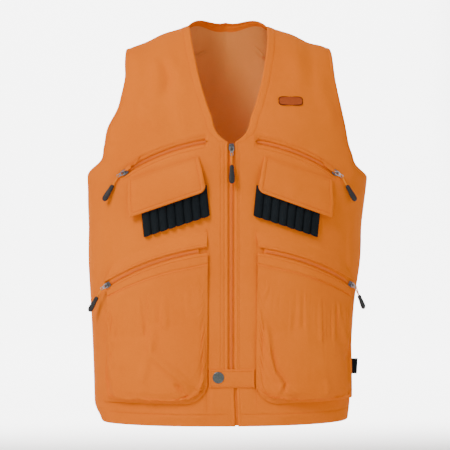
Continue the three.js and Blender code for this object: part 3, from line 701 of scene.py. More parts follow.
def front_patches(side):
    """The front as two grids of (angle, level), above and below the chest zip."""
    armhole = ARMHOLES[side]
    across = fine_steps(237, 14, 10)
    boundary_x = lerp(OPENING, CHEST_HALF, across)
    lip = zip_gap(boundary_x)
    line = lerp(-209.0, CHEST_LINE(boundary_x), smooth((boundary_x - OPENING) / 30))
    line = lerp(line, -264.0 if side < 0 else -270.0, smooth((boundary_x - 196) / 47))

    def edge(z):
        level = level_at(FRONT, boundary_x, z)
        return np.stack([outward_angle(side, boundary_x, level), level], axis=-1)

    rows = fine_steps(209, 12, 4)
    bottom = edge(line + lip)
    top_level = FRONT["spring"] + ARCH_SPAN
    top = np.stack([lerp(NECK_EDGE(top_level), armhole(top_level), across), np.full(across.shape, top_level)], -1)
    levels = lerp(bottom[0, 1], top_level, rows)
    left = np.stack([NECK_EDGE(levels), levels], -1)
    levels = lerp(bottom[-1, 1], top_level, rows)
    right = np.stack([armhole(levels), levels], -1)
    left[0], right[0] = bottom[0], bottom[-1]
    upper = fill_patch(bottom, top, left, right, across, rows)

    rows_low = fine_steps(450, 22, 12)
    low_angle = lerp(outward_angle(side, inner_edge(side, HEM_Z), HEM_Z), SEAM_ANGLE, across)
    hem = np.stack([low_angle, np.full(across.shape, float(HEM_Z))], -1)
    top_low = edge(line - lip)
    levels = lerp(HEM_Z, top_low[0, 1], rows_low)
    left_low = np.stack([outward_angle(side, inner_edge(side, levels), levels), levels], -1)
    levels = lerp(HEM_Z, top_low[-1, 1], rows_low)
    right_low = np.stack([np.full(levels.shape, SEAM_ANGLE), levels], -1)
    return upper, fill_patch(hem, top_low, left_low, right_low, across, rows_low)


def centre_profile(side, x, z):
    """The zip's facing along the centre: stitched back and pressed flat, with a seam where the pocket begins."""
    above_tab = smooth((z + 592) / 8)
    rows = bump_line(x, 12.5, 0.9, -0.5) + (bump_line(x, 18, 0.9, -0.4) if side < 0 else 0)
    return rows * above_tab + bump_line(x, SEAM_X, 1.1, -0.9) * smooth((-345 - z) / 10)


def front_points(side, patch, is_upper):
    angle, level = patch[..., 0], patch[..., 1]
    base = body_point(FRONT, side * angle, level)
    x, z = side * base[..., 0], base[..., 2]
    near_zip = smooth((x - CHEST_X0 + 2) / 3) * smooth((CHEST_X1 + 2 - x) / 3)
    from_lip = np.abs(z - (CHEST_LINE(x) + (LIP if is_upper else -LIP)))
    extra = near_zip * (edge_profile(from_lip, 5.5) - LIP_DIP * np.exp(-((from_lip / 6.5) ** 2)))
    if is_upper:
        neck_x = np.abs(half_width(level, 1) * np.sin(NECK_EDGE(level)))
        arm_x = np.abs(half_width(level, 1) * np.sin(ARMHOLES[side](level)))
        extra = extra + edge_profile(x - neck_x, 12) + edge_profile((arm_x - x) * 1.2, 8) * smooth((z + 252) / 14)
    else:
        extra = extra + edge_profile(x - inner_edge(side, z), 5) + centre_profile(side, x, z)
        extra = extra + bump_line(z - HEM_Z, 20, 1.0, -0.5) - 0.8 * np.exp(-(((z - HEM_Z) / 1.0) ** 2))
    normal = body_normal(FRONT, side * angle, level)
    relief = shell_relief(FRONT, side * angle, base[..., 0], z)
    return base + normal * (relief + extra)[..., None]


def joined(name, meshes, merge=0.02):
    """One mesh from several, with vertices closer than merge (mm) made one."""
    made = bmesh.new()
    for mesh in meshes:
        made.from_mesh(mesh)
    bmesh.ops.remove_doubles(made, verts=made.verts, dist=merge * MM)
    result = bpy.data.meshes.new(name)
    made.to_mesh(result)
    made.free()
    return result


TOWARD_FRONT = np.array([0.0, -1.0, 0.0])
VENT_FACING = {"x": (-14, 19), "z": (HEM_Z + 1.5, -606), "offset": -2.9}


def vent_facing():
    """The right front's facing, which runs on behind the left front below the tab and closes the vent."""
    x, z = np.meshgrid(np.linspace(*VENT_FACING["x"], 24), np.linspace(*VENT_FACING["z"], 40))
    return cloth_mesh("vent_facing", on_front(x, z, VENT_FACING["offset"]), 1.0, TOWARD_FRONT)


for side_name, side in SIDES:
    parts = [
        cloth_mesh(f"{side_name}_{i}", front_points(side, patch, i == 0), CLOTH, TOWARD_FRONT)
        for i, patch in enumerate(front_patches(side))
    ]
    if side < 0:
        parts.append(vent_facing())
    mesh = joined(f"{side_name}_front", parts)
    panel = f"{side_name}_front_panel"
    finish_piece(f"{side_name}_front_cloth", mesh, BLAZE, "shell", [panel])


# ---------------------------------------------------------------- back and lining
BACK_ARMHOLE = {
    side: curve_on(BACK, side, [(243, -267), (214, -238), (190, -195), (177, -145), (172, -95), (176, -42.8)])
    for _, side in SIDES
}


def row_level(t, top):
    return np.where(t < 0.5, lerp(HEM_Z, ARMPIT_Z, t * 2), lerp(ARMPIT_Z, top, np.maximum(0, t * 2 - 1) ** 1.5))


def back_points(columns, rows, margin, offset, stitched):
    s, t = np.meshgrid(columns, rows)
    column, row = margin + s * (1 - 2 * margin), margin + t * (1 - 2 * margin)
    across = 2 * column - 1
    shoulder_x = CHEST_HALF * np.sin(across * BACK_ARMHOLE[1](BACK["spring"] + ARCH_SPAN - 0.4))
    share = clamp01(np.abs(shoulder_x) / NECK_HALF)
    top = BACK["spring"] + ARCH_SPAN * lerp(55 / 90, 1, share**2)
    level = row_level(row, top)
    edge_angle = np.where(across < 0, BACK_ARMHOLE[-1](level), BACK_ARMHOLE[1](level))
    angle = across * edge_angle
    flat = body_point(BACK, angle, level)
    height = offset + shell_relief(BACK, angle, flat[..., 0], flat[..., 2])
    if stitched:
        from_edge = (edge_angle - np.abs(angle)) * 200
        height = height + smooth((level + 262) / 8) * edge_profile(from_edge, 8)
        height = height + edge_profile(np.abs(top - level) * 1.4, 10) * (share < 0.99)
        height = height + bump_line(level - HEM_Z, 20, 1.2, -0.5)
    return flat + body_normal(BACK, angle, level) * height[..., None]


BACK_COLUMNS = fine_steps(640, 12, 12, 4.5)
BACK_ROWS = fine_steps(720, 24, 16, 4.0)
TOWARD_BACK = -TOWARD_FRONT
back_mesh = cloth_mesh("back", back_points(BACK_COLUMNS, BACK_ROWS, 0, 0, True), CLOTH, TOWARD_BACK)
back_cloth = finish_piece("back_cloth", back_mesh, BLAZE, "shell", ["back_panel"])
lining_points = back_points(np.linspace(0, 1, 90), np.linspace(0, 1, 110), 0.02, -CLOTH - 0.6, False)
lining_mesh = cloth_mesh("lining", lining_points, 0.6, TOWARD_BACK)
lining = finish_piece("back_lining_cloth", lining_mesh, LINING, "shell", ["back_lining"])


# ---------------------------------------------------------------- small meshes
def mesh_of(name, verts, faces, uv=None):
    """A mesh from vertices in mm. uv is one pair for each vertex, in mm of cloth."""
    mesh = bpy.data.meshes.new(name)
    mesh.from_pydata((np.asarray(verts) * MM).tolist(), [], [list(map(int, face)) for face in faces])
    layer = mesh.uv_layers.new(name="cloth")
    corners = np.concatenate([np.asarray(face, int) for face in faces])
    flat = np.asarray(verts)[:, :2] if uv is None else np.asarray(uv)
    layer.data.foreach_set("uv", flat[corners].astype(np.float32).reshape(-1))
    return mesh


def ring_faces(rings, sides, closed=False):
    """Quads round a stack of rings, with a face at each end unless the stack closes on itself."""
    faces = []
    last = rings if closed else rings - 1
    for i in range(last):
        a, b = i * sides, ((i + 1) % rings) * sides
        for j in range(sides):
            k = (j + 1) % sides
            faces.append((a + j, a + k, b + k, b + j))
    if not closed:
        faces.append(tuple(range(sides))[::-1])
        faces.append(tuple((rings - 1) * sides + j for j in range(sides)))
    return faces


def bead(half_length, half_width, half_height, rings=5, sides=6):
    """A rounded bar along x."""
    turns = np.linspace(0.12, math.pi - 0.12, rings)
    around = np.arange(sides) * 2 * math.pi / sides
    x = -np.cos(turns)[:, None] * half_length * np.ones(sides)
    swell = np.sin(turns)[:, None] ** 0.6
    y, z = half_width * swell * np.cos(around), half_height * swell * np.sin(around)
    return np.stack([x, y, z], -1).reshape(-1, 3), ring_faces(rings, sides)


def placed(name, shape, origins, along, outward):
    """Copies of a small shape, its x laid along one direction and its z along another."""
    verts, faces = shape
    across = unit(np.cross(outward, along))
    out = unit(np.cross(along, across))
    basis = np.stack([unit(along), across, out], axis=1)
    every = np.einsum("vk,mkc->mvc", verts, basis) + origins[:, None, :]
    count = len(verts)
    every_face = [tuple(i + n * count for i in face) for n in range(len(origins)) for face in faces]
    return mesh_of(name, every.reshape(-1, 3), every_face, uv=np.tile(verts[:, :2], (len(origins), 1)))


STITCH = {"pitch": 3.3, "half": 1.2, "radius": 0.33}
STITCH_SHAPE = bead(STITCH["half"], STITCH["radius"], STITCH["radius"] * 0.8, rings=5, sides=6)


def stitch_row(points, normals):
    """One row of stitches along a path, as a mesh."""
    steps = np.linalg.norm(np.diff(points, axis=0), axis=1)
    run = np.concatenate([[0], np.cumsum(steps)])
    at = np.arange(STITCH["pitch"] / 2, run[-1], STITCH["pitch"])

    def along_path(values, where):
        return np.stack([np.interp(where, run, values[:, k]) for k in range(3)], -1)

    along = along_path(points, at + 0.8) - along_path(points, at - 0.8)
    return placed("stitches", STITCH_SHAPE, along_path(points, at), along, along_path(normals, at))


def add_stitches(name, rows, body, blended=None):
    mesh = joined(name, [stitch_row(points, normals) for points, normals in rows], merge=0)
    piece = finish_piece(name, mesh, THREAD, None if blended else body)
    if blended:
        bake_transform(piece)
    return piece


def front_row(side, x, z, lift=0.1):
    return skin_point(side, x, z, lift)


def edge_row(side, edge, levels, inset, lift=0.1):
    """A row of stitches beside an edge given as an angle at each level."""
    angle = side * (edge(levels) + inset / half_width(levels, side))
    base = body_point(FRONT, angle, levels)
    normal = body_normal(FRONT, angle, levels)
    height = shell_relief(FRONT, angle, base[..., 0], base[..., 2]) + lift
    return base + normal * height[..., None], normal


def shell_stitches(side):
    zs = np.linspace(-222, -590, 180)
    xs = np.linspace(CHEST_X0 - 4, CHEST_X1 + 4, 90)
    rows = [front_row(side, 12.5, zs)]
    if side < 0:
        rows.append(front_row(side, 18, zs))
    rows.append(front_row(side, SEAM_X + 1.8, np.linspace(-352, -652, 150), 0.2))
    for lip in (-LIP - 5.5, LIP + 5.5):
        rows.append(front_row(side, xs, CHEST_LINE(xs) + lip, -LIP_DIP * math.exp(-((5.5 / 6.5) ** 2))))
    for end in (CHEST_X0 - 4, CHEST_X1 + 4):
        rows.append(front_row(side, end, np.linspace(-1, 1, 8) * (LIP + 5.5) + CHEST_LINE(end)))
    levels = np.linspace(-203, -12, 120)
    rows.append(edge_row(side, NECK_EDGE, levels, 12.5))
    levels = np.linspace(-250, -12, 150)
    rows.append(edge_row(side, ARMHOLES[side], levels, -7.2))
    hem_x = np.linspace(abs(VENT_EDGE[side]) + 8, 205, 130)
    rows.append(front_row(side, hem_x, np.full(hem_x.shape, HEM_Z + 20.0)))
    return rows


for side_name, side in SIDES:
    add_stitches(f"{side_name}_front_stitching", shell_stitches(side), "shell")


def back_row(angle, level, lift=0.15):
    base = body_point(BACK, angle, level)
    normal = body_normal(BACK, angle, level)
    height = shell_relief(BACK, angle, base[..., 0], base[..., 2]) + lift
    return base + normal * height[..., None], normal


back_rows = [back_row(np.linspace(-1.5, 1.5, 260), np.full(260, HEM_Z + 20.0))]
for _, side in SIDES:
    levels = np.linspace(-246, 10, 150)
    back_rows.append(back_row(side * (BACK_ARMHOLE[side](levels) - 0.04), levels))
add_stitches("back_stitching", back_rows, "shell")


# ---------------------------------------------------------------- facings and tapes inside
FACING = {"bottom": -178, "below_seam": 14, "width": 24, "offset": -CLOTH - 1.2}
for side_name, side in SIDES:
    lowest = level_at(FRONT, 0.0, FACING["bottom"])
    levels = np.linspace(lowest, FRONT["spring"] + ARCH_SPAN - FACING["below_seam"], 60)
    s, level = np.meshgrid(np.linspace(0, 1, 12), levels)
    angle = side * (NECK_EDGE(level) + 0.004 + s * FACING["width"] / CHEST_HALF)
    points = on_body(FRONT, angle, level, np.full(level.shape, FACING["offset"]))
    name = f"{side_name}_neck_facing"
    add_cloth(f"{name}_cloth", points, 0.8, LINING, "shell", [name])

HANGERS = {"right": ((-57, -43), (-36, -32)), "left": ((54, -25), (70, -41))}
HANGER_HALF = 2.6
HANGER_OFFSET = -CLOTH - 0.8 - 3 * 1.2
for side_name, ends in HANGERS.items():
    start, end = np.array(ends[0], float), np.array(ends[1], float)
    along = (end - start) / np.linalg.norm(end - start)
    s, t = np.meshgrid(np.linspace(-HANGER_HALF, HANGER_HALF, 7), np.linspace(0, 1, 24))
    x = lerp(start[0], end[0], t) - along[1] * s
    z = lerp(start[1], end[1], t) + along[0] * s
    level = level_at(BACK, x, z)
    offset = HANGER_OFFSET - 0.5 * np.sin(t * math.pi) + 0.25 * (np.abs(s) > HANGER_HALF - 0.6)
    points = on_body(BACK, angle_at(x, level), level, offset)
    name = f"{side_name}_hanger_tape"
    add_cloth(f"{name}_cloth", points, 0.8, PALE_TAPE, "shell", [name], outward=(0, -1, 0))


# ---------------------------------------------------------------- zips
TAPE_HALF = 7.8
TAPE_TOP = -0.5
TOOTH = bead(1.55, 0.42, 0.85, rings=6, sides=6)
TOOTH_PITCH = 0.72


def add_arc_zip(name, arc):
    """The tape and the coil of a zip on an arc."""
    reach = 1.5 / arc.radius
    angles = np.linspace(-arc.end - reach, arc.sweep + arc.end + reach, 110)
    across = np.linspace(-TAPE_HALF, TAPE_HALF, 15)
    ribs = TAPE_TOP + 0.12 * np.cos(across * 2 * math.pi / 2.6)
    points = arc.at(angles[None, :], ribs[:, None], across[:, None])
    toward = arc.normal(arc.sweep / 2)
    tape = cloth_mesh(f"{name}_tape", points, 0.8, toward)
    finish_piece(f"{name}_tape_cloth", tape, TAPE, "shell", [f"{name}_tape"])
    count = int((arc.sweep + 2 * arc.end) * arc.radius / TOOTH_PITCH)
    at = np.linspace(-arc.end + 0.002, arc.sweep + arc.end - 0.002, count)
    hand = np.where(np.arange(count) % 2, 1.0, -1.0)
    origins = arc.at(at, np.full(count, 1.25), hand * 0.75)
    _, forward = arc.directions(at)
    along = np.cross(arc.normal(at), forward) + 0.16 * forward * hand[:, None]
    teeth = placed(f"{name}_coil", TOOTH, origins, along, arc.normal(at))
    finish_piece(f"{name}_coil", teeth, COIL, "shell", [f"{name}_chain"])


for side_name, side in SIDES:
    add_arc_zip(f"{side_name}_chest_zip", CHEST_ZIP[side])
    add_arc_zip(f"{side_name}_pocket_zip", LOWER_ZIP[side])

CENTRE_Y = FRONT_Y + 3
ZIP_BOTTOM_Z = -600
CENTRE_TOP = ZIP_TOP_Z - 3
for side_name, side in SIDES:
    s, z = np.meshgrid(np.linspace(0.15, 13, 12), np.linspace(ZIP_BOTTOM_Z - 8, CENTRE_TOP, 150))
    ribs = TAPE_TOP + 0.12 * np.cos(s * 2 * math.pi / 2.6)
    points = np.stack([side * s, CENTRE_Y - ribs, z], -1)
    name = f"main_zip_tape_{side_name}"
    add_cloth(f"{name}_cloth", points, 0.8, TAPE, "shell", [name])
    drops = np.arange(CENTRE_TOP - 1 - TOOTH_PITCH * (side > 0), ZIP_BOTTOM_Z, -2 * TOOTH_PITCH)
    origins = np.stack([np.full(drops.shape, side * 0.75), np.full(drops.shape, CENTRE_Y - 1.25), drops], -1)
    along = np.tile([1.0, 0.0, 0.16 * side], (len(drops), 1))
    out = np.tile([0.0, -1.0, 0.0], (len(drops), 1))
    teeth = placed(f"main_zip_coil_{side_name}", TOOTH, origins, along, out)
    finish_piece(f"main_zip_coil_{side_name}", teeth, COIL, "shell", [f"main_zip_chain_{side_name}"])


# ---------------------------------------------------------------- sliders, pullers and grips
def plate_mesh(name, outlines, thickness, bevel):
    """A flat plate with rounded edges, from its outline and its holes, each a list of (x, y)."""
    curve = bpy.data.curves.new(name, "CURVE")
    curve.dimensions = "2D"
    curve.fill_mode = "BOTH"
    curve.extrude = (thickness / 2 - bevel) * MM
    curve.bevel_depth = bevel * MM
    curve.bevel_resolution = 2
    curve.offset = -bevel * MM
    for outline in outlines:
        spline = curve.splines.new("POLY")
        spline.points.add(len(outline) - 1)
        for point, (x, y) in zip(spline.points, outline):
            point.co = (x * MM, y * MM, 0, 1)
        spline.use_cyclic_u = True
    holder = bpy.data.objects.new(name, curve)
    bpy.context.collection.objects.link(holder)
    mesh = bpy.data.meshes.new_from_object(holder)
    bpy.data.objects.remove(holder)
    return mesh


def rounded(corners, radius, steps=5):
    """A polygon with its corners turned as arcs."""
    corners = np.asarray(corners, float)
    outline = []
    for before, corner, after in zip(np.roll(corners, 1, 0), corners, np.roll(corners, -1, 0)):
        start = corner + (before - corner) * min(0.48, radius / np.linalg.norm(before - corner))
        end = corner + (after - corner) * min(0.48, radius / np.linalg.norm(after - corner))
        for t in np.linspace(0, 1, steps):
            outline.append((1 - t) ** 2 * start + 2 * t * (1 - t) * corner + t * t * end)
    return outline


def circle(x, y, radius_x, radius_y, steps=20):
    turns = np.arange(steps) * 2 * math.pi / steps
    return [(x + radius_x * math.cos(a), y + radius_y * math.sin(a)) for a in turns]


def moved(mesh, x=0.0, y=0.0, z=0.0, turn=None):
    if turn is not None:
        mesh.transform(turn)
    mesh.transform(Matrix.Translation((x * MM, y * MM, z * MM)))
    return mesh


SLIDER = {"length": 12, "width": 10, "tail": 7.4, "plate": 1.2, "wall": 1.7, "bridge": 1.6, "window": 3.4}
CHAIN_LOW, CHAIN_HIGH, GAP = 0.2, 2.4, 0.4
SLIDER_TOP = CHAIN_HIGH + GAP + SLIDER["plate"]
PIVOT = SLIDER_TOP + 1.7


def slider_mesh():
    length, width, tail = SLIDER["length"], SLIDER["width"], SLIDER["tail"]
    plate = [(-length / 2, -tail / 2), (length / 4, -width / 2), (length / 2, -width / 2.6),
             (length / 2, width / 2.6), (length / 4, width / 2), (-length / 2, tail / 2)]
    lid = moved(plate_mesh("lid", [rounded(plate, 1.6)], SLIDER["plate"], 0.3), z=SLIDER_TOP - SLIDER["plate"] / 2)
    parts = [lid]
    depth = CHAIN_HIGH + GAP
    for side in (-1, 1):
        wall = rounded([(-4.1, -0.8), (4.1, -0.8), (4.1, 0.8), (-4.1, 0.8)], 0.6)
        parts.append(moved(plate_mesh("wall", [wall], depth, 0.25), y=side * 3.55, z=depth / 2 + 0.25))
    reach, window, thin = length * 0.36, SLIDER["window"], 1.1
    arch = [(-reach, -0.3), (-reach, window * 0.6), (-reach * 0.6, window + thin), (reach * 0.6, window + thin),
            (reach, window * 0.6), (reach, -0.3), (reach - thin, -0.3), (reach - thin, window * 0.5),
            (reach * 0.5, window), (-reach * 0.5, window), (-reach + thin, window * 0.5), (-reach + thin, -0.3)]
    upright = Matrix.Rotation(math.pi / 2, 4, "X")
    parts.append(moved(plate_mesh("bail", [rounded(arch, 0.5, 3)], SLIDER["bridge"], 0.35), z=SLIDER_TOP, turn=upright))
    return joined("slider", parts)


PULLER = {"length": 15, "half": 3.5, "thickness": 1.2, "hole": 11.4}


def puller_mesh():
    length, half, hole = PULLER["length"], PULLER["half"], PULLER["hole"]
    outline = rounded([(-0.7, -half), (5.5, -half), (8, -half * 0.68), (length - 1, -half * 0.8), (length, -half * 0.4),
                       (length, half * 0.4), (length - 1, half * 0.8), (8, half * 0.68), (5.5, half), (-0.7, half)], 1.1)
    window = rounded([(0.7, -2.2), (6, -2.2), (6, 2.2), (0.7, 2.2)], 0.7)
    return plate_mesh("puller", [outline, window, circle(hole, 0, 1.9, 1.7)], PULLER["thickness"], 0.28)


CORD_LOOP = {"radius": 0.8, "rise": 1.75, "length": 18.5}


def loop_path(steps=60):
    """Both strands of the cord and the bend round the puller's eye, from the grip and back to it."""
    rise, straight = CORD_LOOP["rise"], CORD_LOOP["length"] - CORD_LOOP["rise"]
    total = 2 * straight + math.pi * rise
    path = []
    for run in np.linspace(0, total, steps):
        if run < straight:
            x, z = straight - run, rise
        elif run > total - straight:
            x, z = run - (total - straight), -rise
        else:
            turn = (run - straight) / rise
            x, z = -rise * math.sin(turn), rise * math.cos(turn)
        closeness = smooth((x - 4) / 12)
        path.append((x + rise - CORD_LOOP["radius"], 0.0, z * (1 - 0.45 * closeness)))
    return np.array(path)


def tube_mesh(name, path, radius, sides=10):
    """A round tube along a path in the XZ plane, with its length and girth as its cloth map."""
    along = unit(np.gradient(path, axis=0))
    aside = np.tile([0.0, 1.0, 0.0], (len(path), 1))
    out = np.cross(aside, along)
    around = np.arange(sides) * 2 * math.pi / sides
    across = np.cos(around)[None, :, None] * aside[:, None]
    outward = np.sin(around)[None, :, None] * out[:, None]
    rings = path[:, None] + radius * (across + outward)
    run = np.concatenate([[0], np.cumsum(np.linalg.norm(np.diff(path, axis=0), axis=1))])
    uv = np.stack(np.broadcast_arrays(run[:, None], around[None, :] * radius), -1)
    return mesh_of(name, rings.reshape(-1, 3), ring_faces(len(path), sides), uv.reshape(-1, 2))


GRIP = {"length": 31, "neck": 3.3, "waist": 3.6, "belly": 4.7, "thickness": 4.6}
GRIP_RIBS = (9, 12.5, 16, 19.5)


def grip_mesh():
    """A moulded tab: slim where the cord enters, wider and rounded at its free end, with finger ribs."""
    stations = fine_steps(GRIP["length"], 3, 4, 0.5) * GRIP["length"]
    share = stations / GRIP["length"]
    half = lerp(GRIP["neck"], GRIP["waist"], smooth(share / 0.2))
    half = lerp(half, GRIP["belly"], smooth((share - 0.2) / 0.5))
    close = np.sqrt(np.maximum(0.02, 1 - clamp01((share - 0.8) / 0.2) ** 2.4))
    start = np.sqrt(np.maximum(0.35, 1 - clamp01((0.06 - share) / 0.06) ** 2))
    half = half * close * start
    ribs = sum(np.exp(-(((stations - rib) / 0.7) ** 2)) for rib in GRIP_RIBS)
    thick = (GRIP["thickness"] / 2 - 0.1 - 0.55 * ribs) * close**0.6 * start
    around = np.arange(28) * 2 * math.pi / 28
    round_y = np.sign(np.cos(around)) * np.abs(np.cos(around)) ** 0.7
    round_z = np.sign(np.sin(around)) * np.abs(np.sin(around)) ** 0.7
    verts = np.stack(np.broadcast_arrays(stations[:, None], half[:, None] * round_y, thick[:, None] * round_z), -1)
    return mesh_of("grip", verts.reshape(-1, 3), ring_faces(len(stations), 28))


def add_pull(name, frame_matrix, lift, swing):
    """Slider, puller, cord and grip of one zip, hung as in the frame: each turns in the one before it."""
    hinge_at = frame_matrix @ Matrix.Translation((0, 0, PIVOT * MM))
    puller_at = hinge_at @ Matrix.Rotation(-math.radians(lift), 4, "Y")
    eye_at = puller_at @ Matrix.Translation((PULLER["hole"] * MM, 0, 0))
    pull_at = eye_at @ Matrix.Rotation(math.radians(swing), 4, "Z")
    grip_at = pull_at @ Matrix.Translation(((CORD_LOOP["length"] + GAP) * MM, 0, 0))
    pieces = [
        ("slider", slider_mesh(), frame_matrix, ZIP_BODY, "slider_body", "zip_metal"),
        ("puller", puller_mesh(), puller_at, STEEL, "puller_body", "zip_metal"),
        ("cord", tube_mesh("cord", loop_path(), CORD_LOOP["radius"]), pull_at, CORD, "grip_body", "cord"),
        ("grip", grip_mesh(), grip_at, RUBBER, "grip_body", "grip"),
    ]
    for kind, mesh, place, material, body, slot in pieces:
        mesh.transform(place)
        node = f"{name}_{kind}"
        finish_piece(f"{node}_detail", mesh, material, f"{name}_{body}", [node], sharp=34)


for side_name, side in SIDES:
    chest, pocket = CHEST_ZIP[side], LOWER_ZIP[side]
    add_pull(f"{side_name}_chest_zip", chest.frame(chest.sweep), 8, side * -28)
    add_pull(f"{side_name}_pocket_zip", pocket.frame(pocket.sweep), 0, side * -25)
main_frame = Matrix(((0, 1, 0, 0), (0, 0, -1, CENTRE_Y * MM), (-1, 0, 0, (ZIP_TOP_Z - 8) * MM), (0, 0, 0, 1)))
add_pull("main_zip", main_frame, 8, 0)


# ---------------------------------------------------------------- chest pocket bags
BAG = {"bottom": -346, "depth": 12, "overrun": 24, "above": 18, "offset": -CLOTH - 2.6}


def crowd_ends(t):
    return (1 - np.cos(math.pi * t)) / 2


def rim(t, width):
    return smooth(t / width) * smooth((1 - t) / width)


for side_name, side in SIDES:
    arc = CHEST_ZIP[side]
    s, t = np.meshgrid(np.linspace(0, 1, 60), np.linspace(0, 1, 60))
    column, row = crowd_ends(s), crowd_ends(t)
    line = arc.at(lerp(-BAG["overrun"] / arc.radius, arc.sweep + BAG["overrun"] / arc.radius, column), 0, 0)
    x, z = line[..., 0], lerp(line[..., 2] + BAG["above"], BAG["bottom"], row)
    sag = BAG["depth"] * rim(column, 0.1) * rim(row, 0.1) * (0.86 + 0.14 * np.sin(column * 9 + row * 4))
    points = on_front(x, z, BAG["offset"] - sag)
    name = f"{side_name}_chest_pocket_bag"
    add_cloth(f"{name}_cloth", points, 0.6, LINING, "shell", [name])


# ---------------------------------------------------------------- cartridge loops
CURVED_GAP = 1.2
LOOP_LEAN = 5  # how far each loop's foot lies nearer the centre than its top
LOOPS = {"first": 48, "pitch": 13.5, "count": 8, "top": -281, "bottom": -331, "fall": 0.325, "depth": 8.2}


def loop_points(side, low, high, columns, rows, crest, ragged):
    """A band over all the loops. crest is its height between the seams, ragged how its bottom edge scallops."""
    start = LOOPS["first"] - LOOPS["pitch"] / 2
    width = LOOPS["pitch"] * LOOPS["count"]
    s, t = np.meshgrid(np.linspace(0, 1, columns), np.linspace(0, 1, rows))
    share = (s * LOOPS["count"]) % 1
    arch = (1 - np.abs(2 * share - 1) ** 2.6) ** 0.8
    level = (LOOPS["top"] + LOOPS["bottom"]) / 2
    plain = start + width * s
    height = low + (high - low) * arch * crest(t)
    base = on_body(FRONT, angle_at(side * plain, level), np.full(plain.shape, float(level)), height)
    bottom = LOOPS["bottom"] - ragged * arch
    fall = -LOOPS["fall"] * (side * base[..., 0] - 45)
    lean = -side * LOOP_LEAN * t
    return np.stack([base[..., 0] + lean, base[..., 1], lerp(LOOPS["top"], bottom, t) + fall], -1)


for side_name, side in SIDES:
    name = f"{side_name}_cartridge_loops"
    flare = lambda t: 0.9 + 0.1 * np.cos(t * 2 * math.pi)
    band = loop_points(side, CURVED_GAP + 2.2, CURVED_GAP + LOOPS["depth"] - 1, 8 * 16 + 1, 36, flare, 1.6)
    backing = loop_points(side, CURVED_GAP + 0.7, CURVED_GAP + 0.7, 8 * 8 + 1, 20, flare, 0.0)
    parts = [cloth_mesh("band", band, 1.0, TOWARD_FRONT), cloth_mesh("backing", backing, 0.6, TOWARD_FRONT)]
    finish_piece(f"{name}_elastic", joined(name, parts), ELASTIC, "shell", [name])


# ---------------------------------------------------------------- flaps
FLAP = {
    "top_inner": (54, -233), "top_outer": (172, -271), "bottom_inner": (43, -291), "bottom_outer": (165, -334),
    "corner": 9, "thickness": 1.6, "stand": 9.4,
}
FLAP_FOLDS = {
    -1: [([(-120, -262), (-112, -290), (-118, -318)], 10, 1.2), ([(-64, -250), (-66, -280), (-60, -296)], 7, 0.8)],
    1: [([(96, -262), (104, -285), (98, -305)], 10, 1.0), ([(140, -275), (146, -300), (140, -318)], 9, 1.0)],
}


def between(a, b, t):
    return lerp(a[0], b[0], t), lerp(a[1], b[1], t)


def flap_outline(s, t):
    top_x, top_z = between(FLAP["top_inner"], FLAP["top_outer"], s)
    bottom_x, bottom_z = between(FLAP["bottom_inner"], FLAP["bottom_outer"], s)
    drop = clamp01(1 - s * 120 / FLAP["corner"])
    rounded_by = FLAP["corner"] * (1 - np.sqrt(1 - drop * drop))
    return lerp(top_x, bottom_x, t), lerp(top_z, bottom_z + rounded_by, t)


def flap_point(side, s, t, lift):
    x, z = flap_outline(s, t)
    stand = CURVED_GAP + 0.2 + FLAP["stand"] * smooth(t / 0.7) + FLAP["thickness"]
    relief = folds(side * x, z, FLAP_FOLDS[side]) * smooth(t / 0.25) * smooth((1 - t) / 0.2)
    return on_front(side * x, z, stand + relief + lift)


def flap_stitches(side):
    rows = []
    for points in (
        [(s, 0.9) for s in np.linspace(0.05, 0.955, 70)],
        [(0.05, t) for t in np.linspace(0.04, 0.9, 40)],
        [(0.955, t) for t in np.linspace(0.04, 0.9, 40)],
        [(s, 0.05) for s in np.linspace(0.05, 0.955, 70)],
    ):
        s, t = np.array(points).T
        on_cloth = flap_point(side, s, t, 0.0)
        normals = unit(flap_point(side, s, t, 1.0) - on_cloth)
        rows.append((on_cloth + normals * 0.05, normals))
    return rows


for side_name, side in SIDES:
    width, height = 122, 62
    s, t = np.meshgrid(fine_steps(width, 8, 8, 2.4), fine_steps(height, 5, 8, 2.4))
    edge = np.minimum(np.minimum(s, 1 - s) * width, (1 - t) * height)
    trim = edge_profile(edge, 6)
    points = flap_point(side, s, t, trim)
    seam = on_front(side * 113.0, -252.0, FLAP["thickness"]) * MM
    body = f"{side_name}_flap_body"
    hinge = next(joint for joint in frame["joints"] if joint["name"] == f"{side_name}_flap_lift")
    down = unit(np.cross(np.asarray(hinge["axis"]), (0.0, -1.0, 0.0))) * -0.012
    bend = ("shell", body, tuple(seam - down * 0.1), tuple(seam + down))
    flap = finish_piece(f"{side_name}_flap_cloth", cloth_mesh("flap", points, FLAP["thickness"], TOWARD_FRONT),
                        BLAZE, None, [f"{side_name}_flap"])
    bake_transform(flap)
    add_stitches(f"{side_name}_flap_stitching", flap_stitches(side), body, blended=bend)


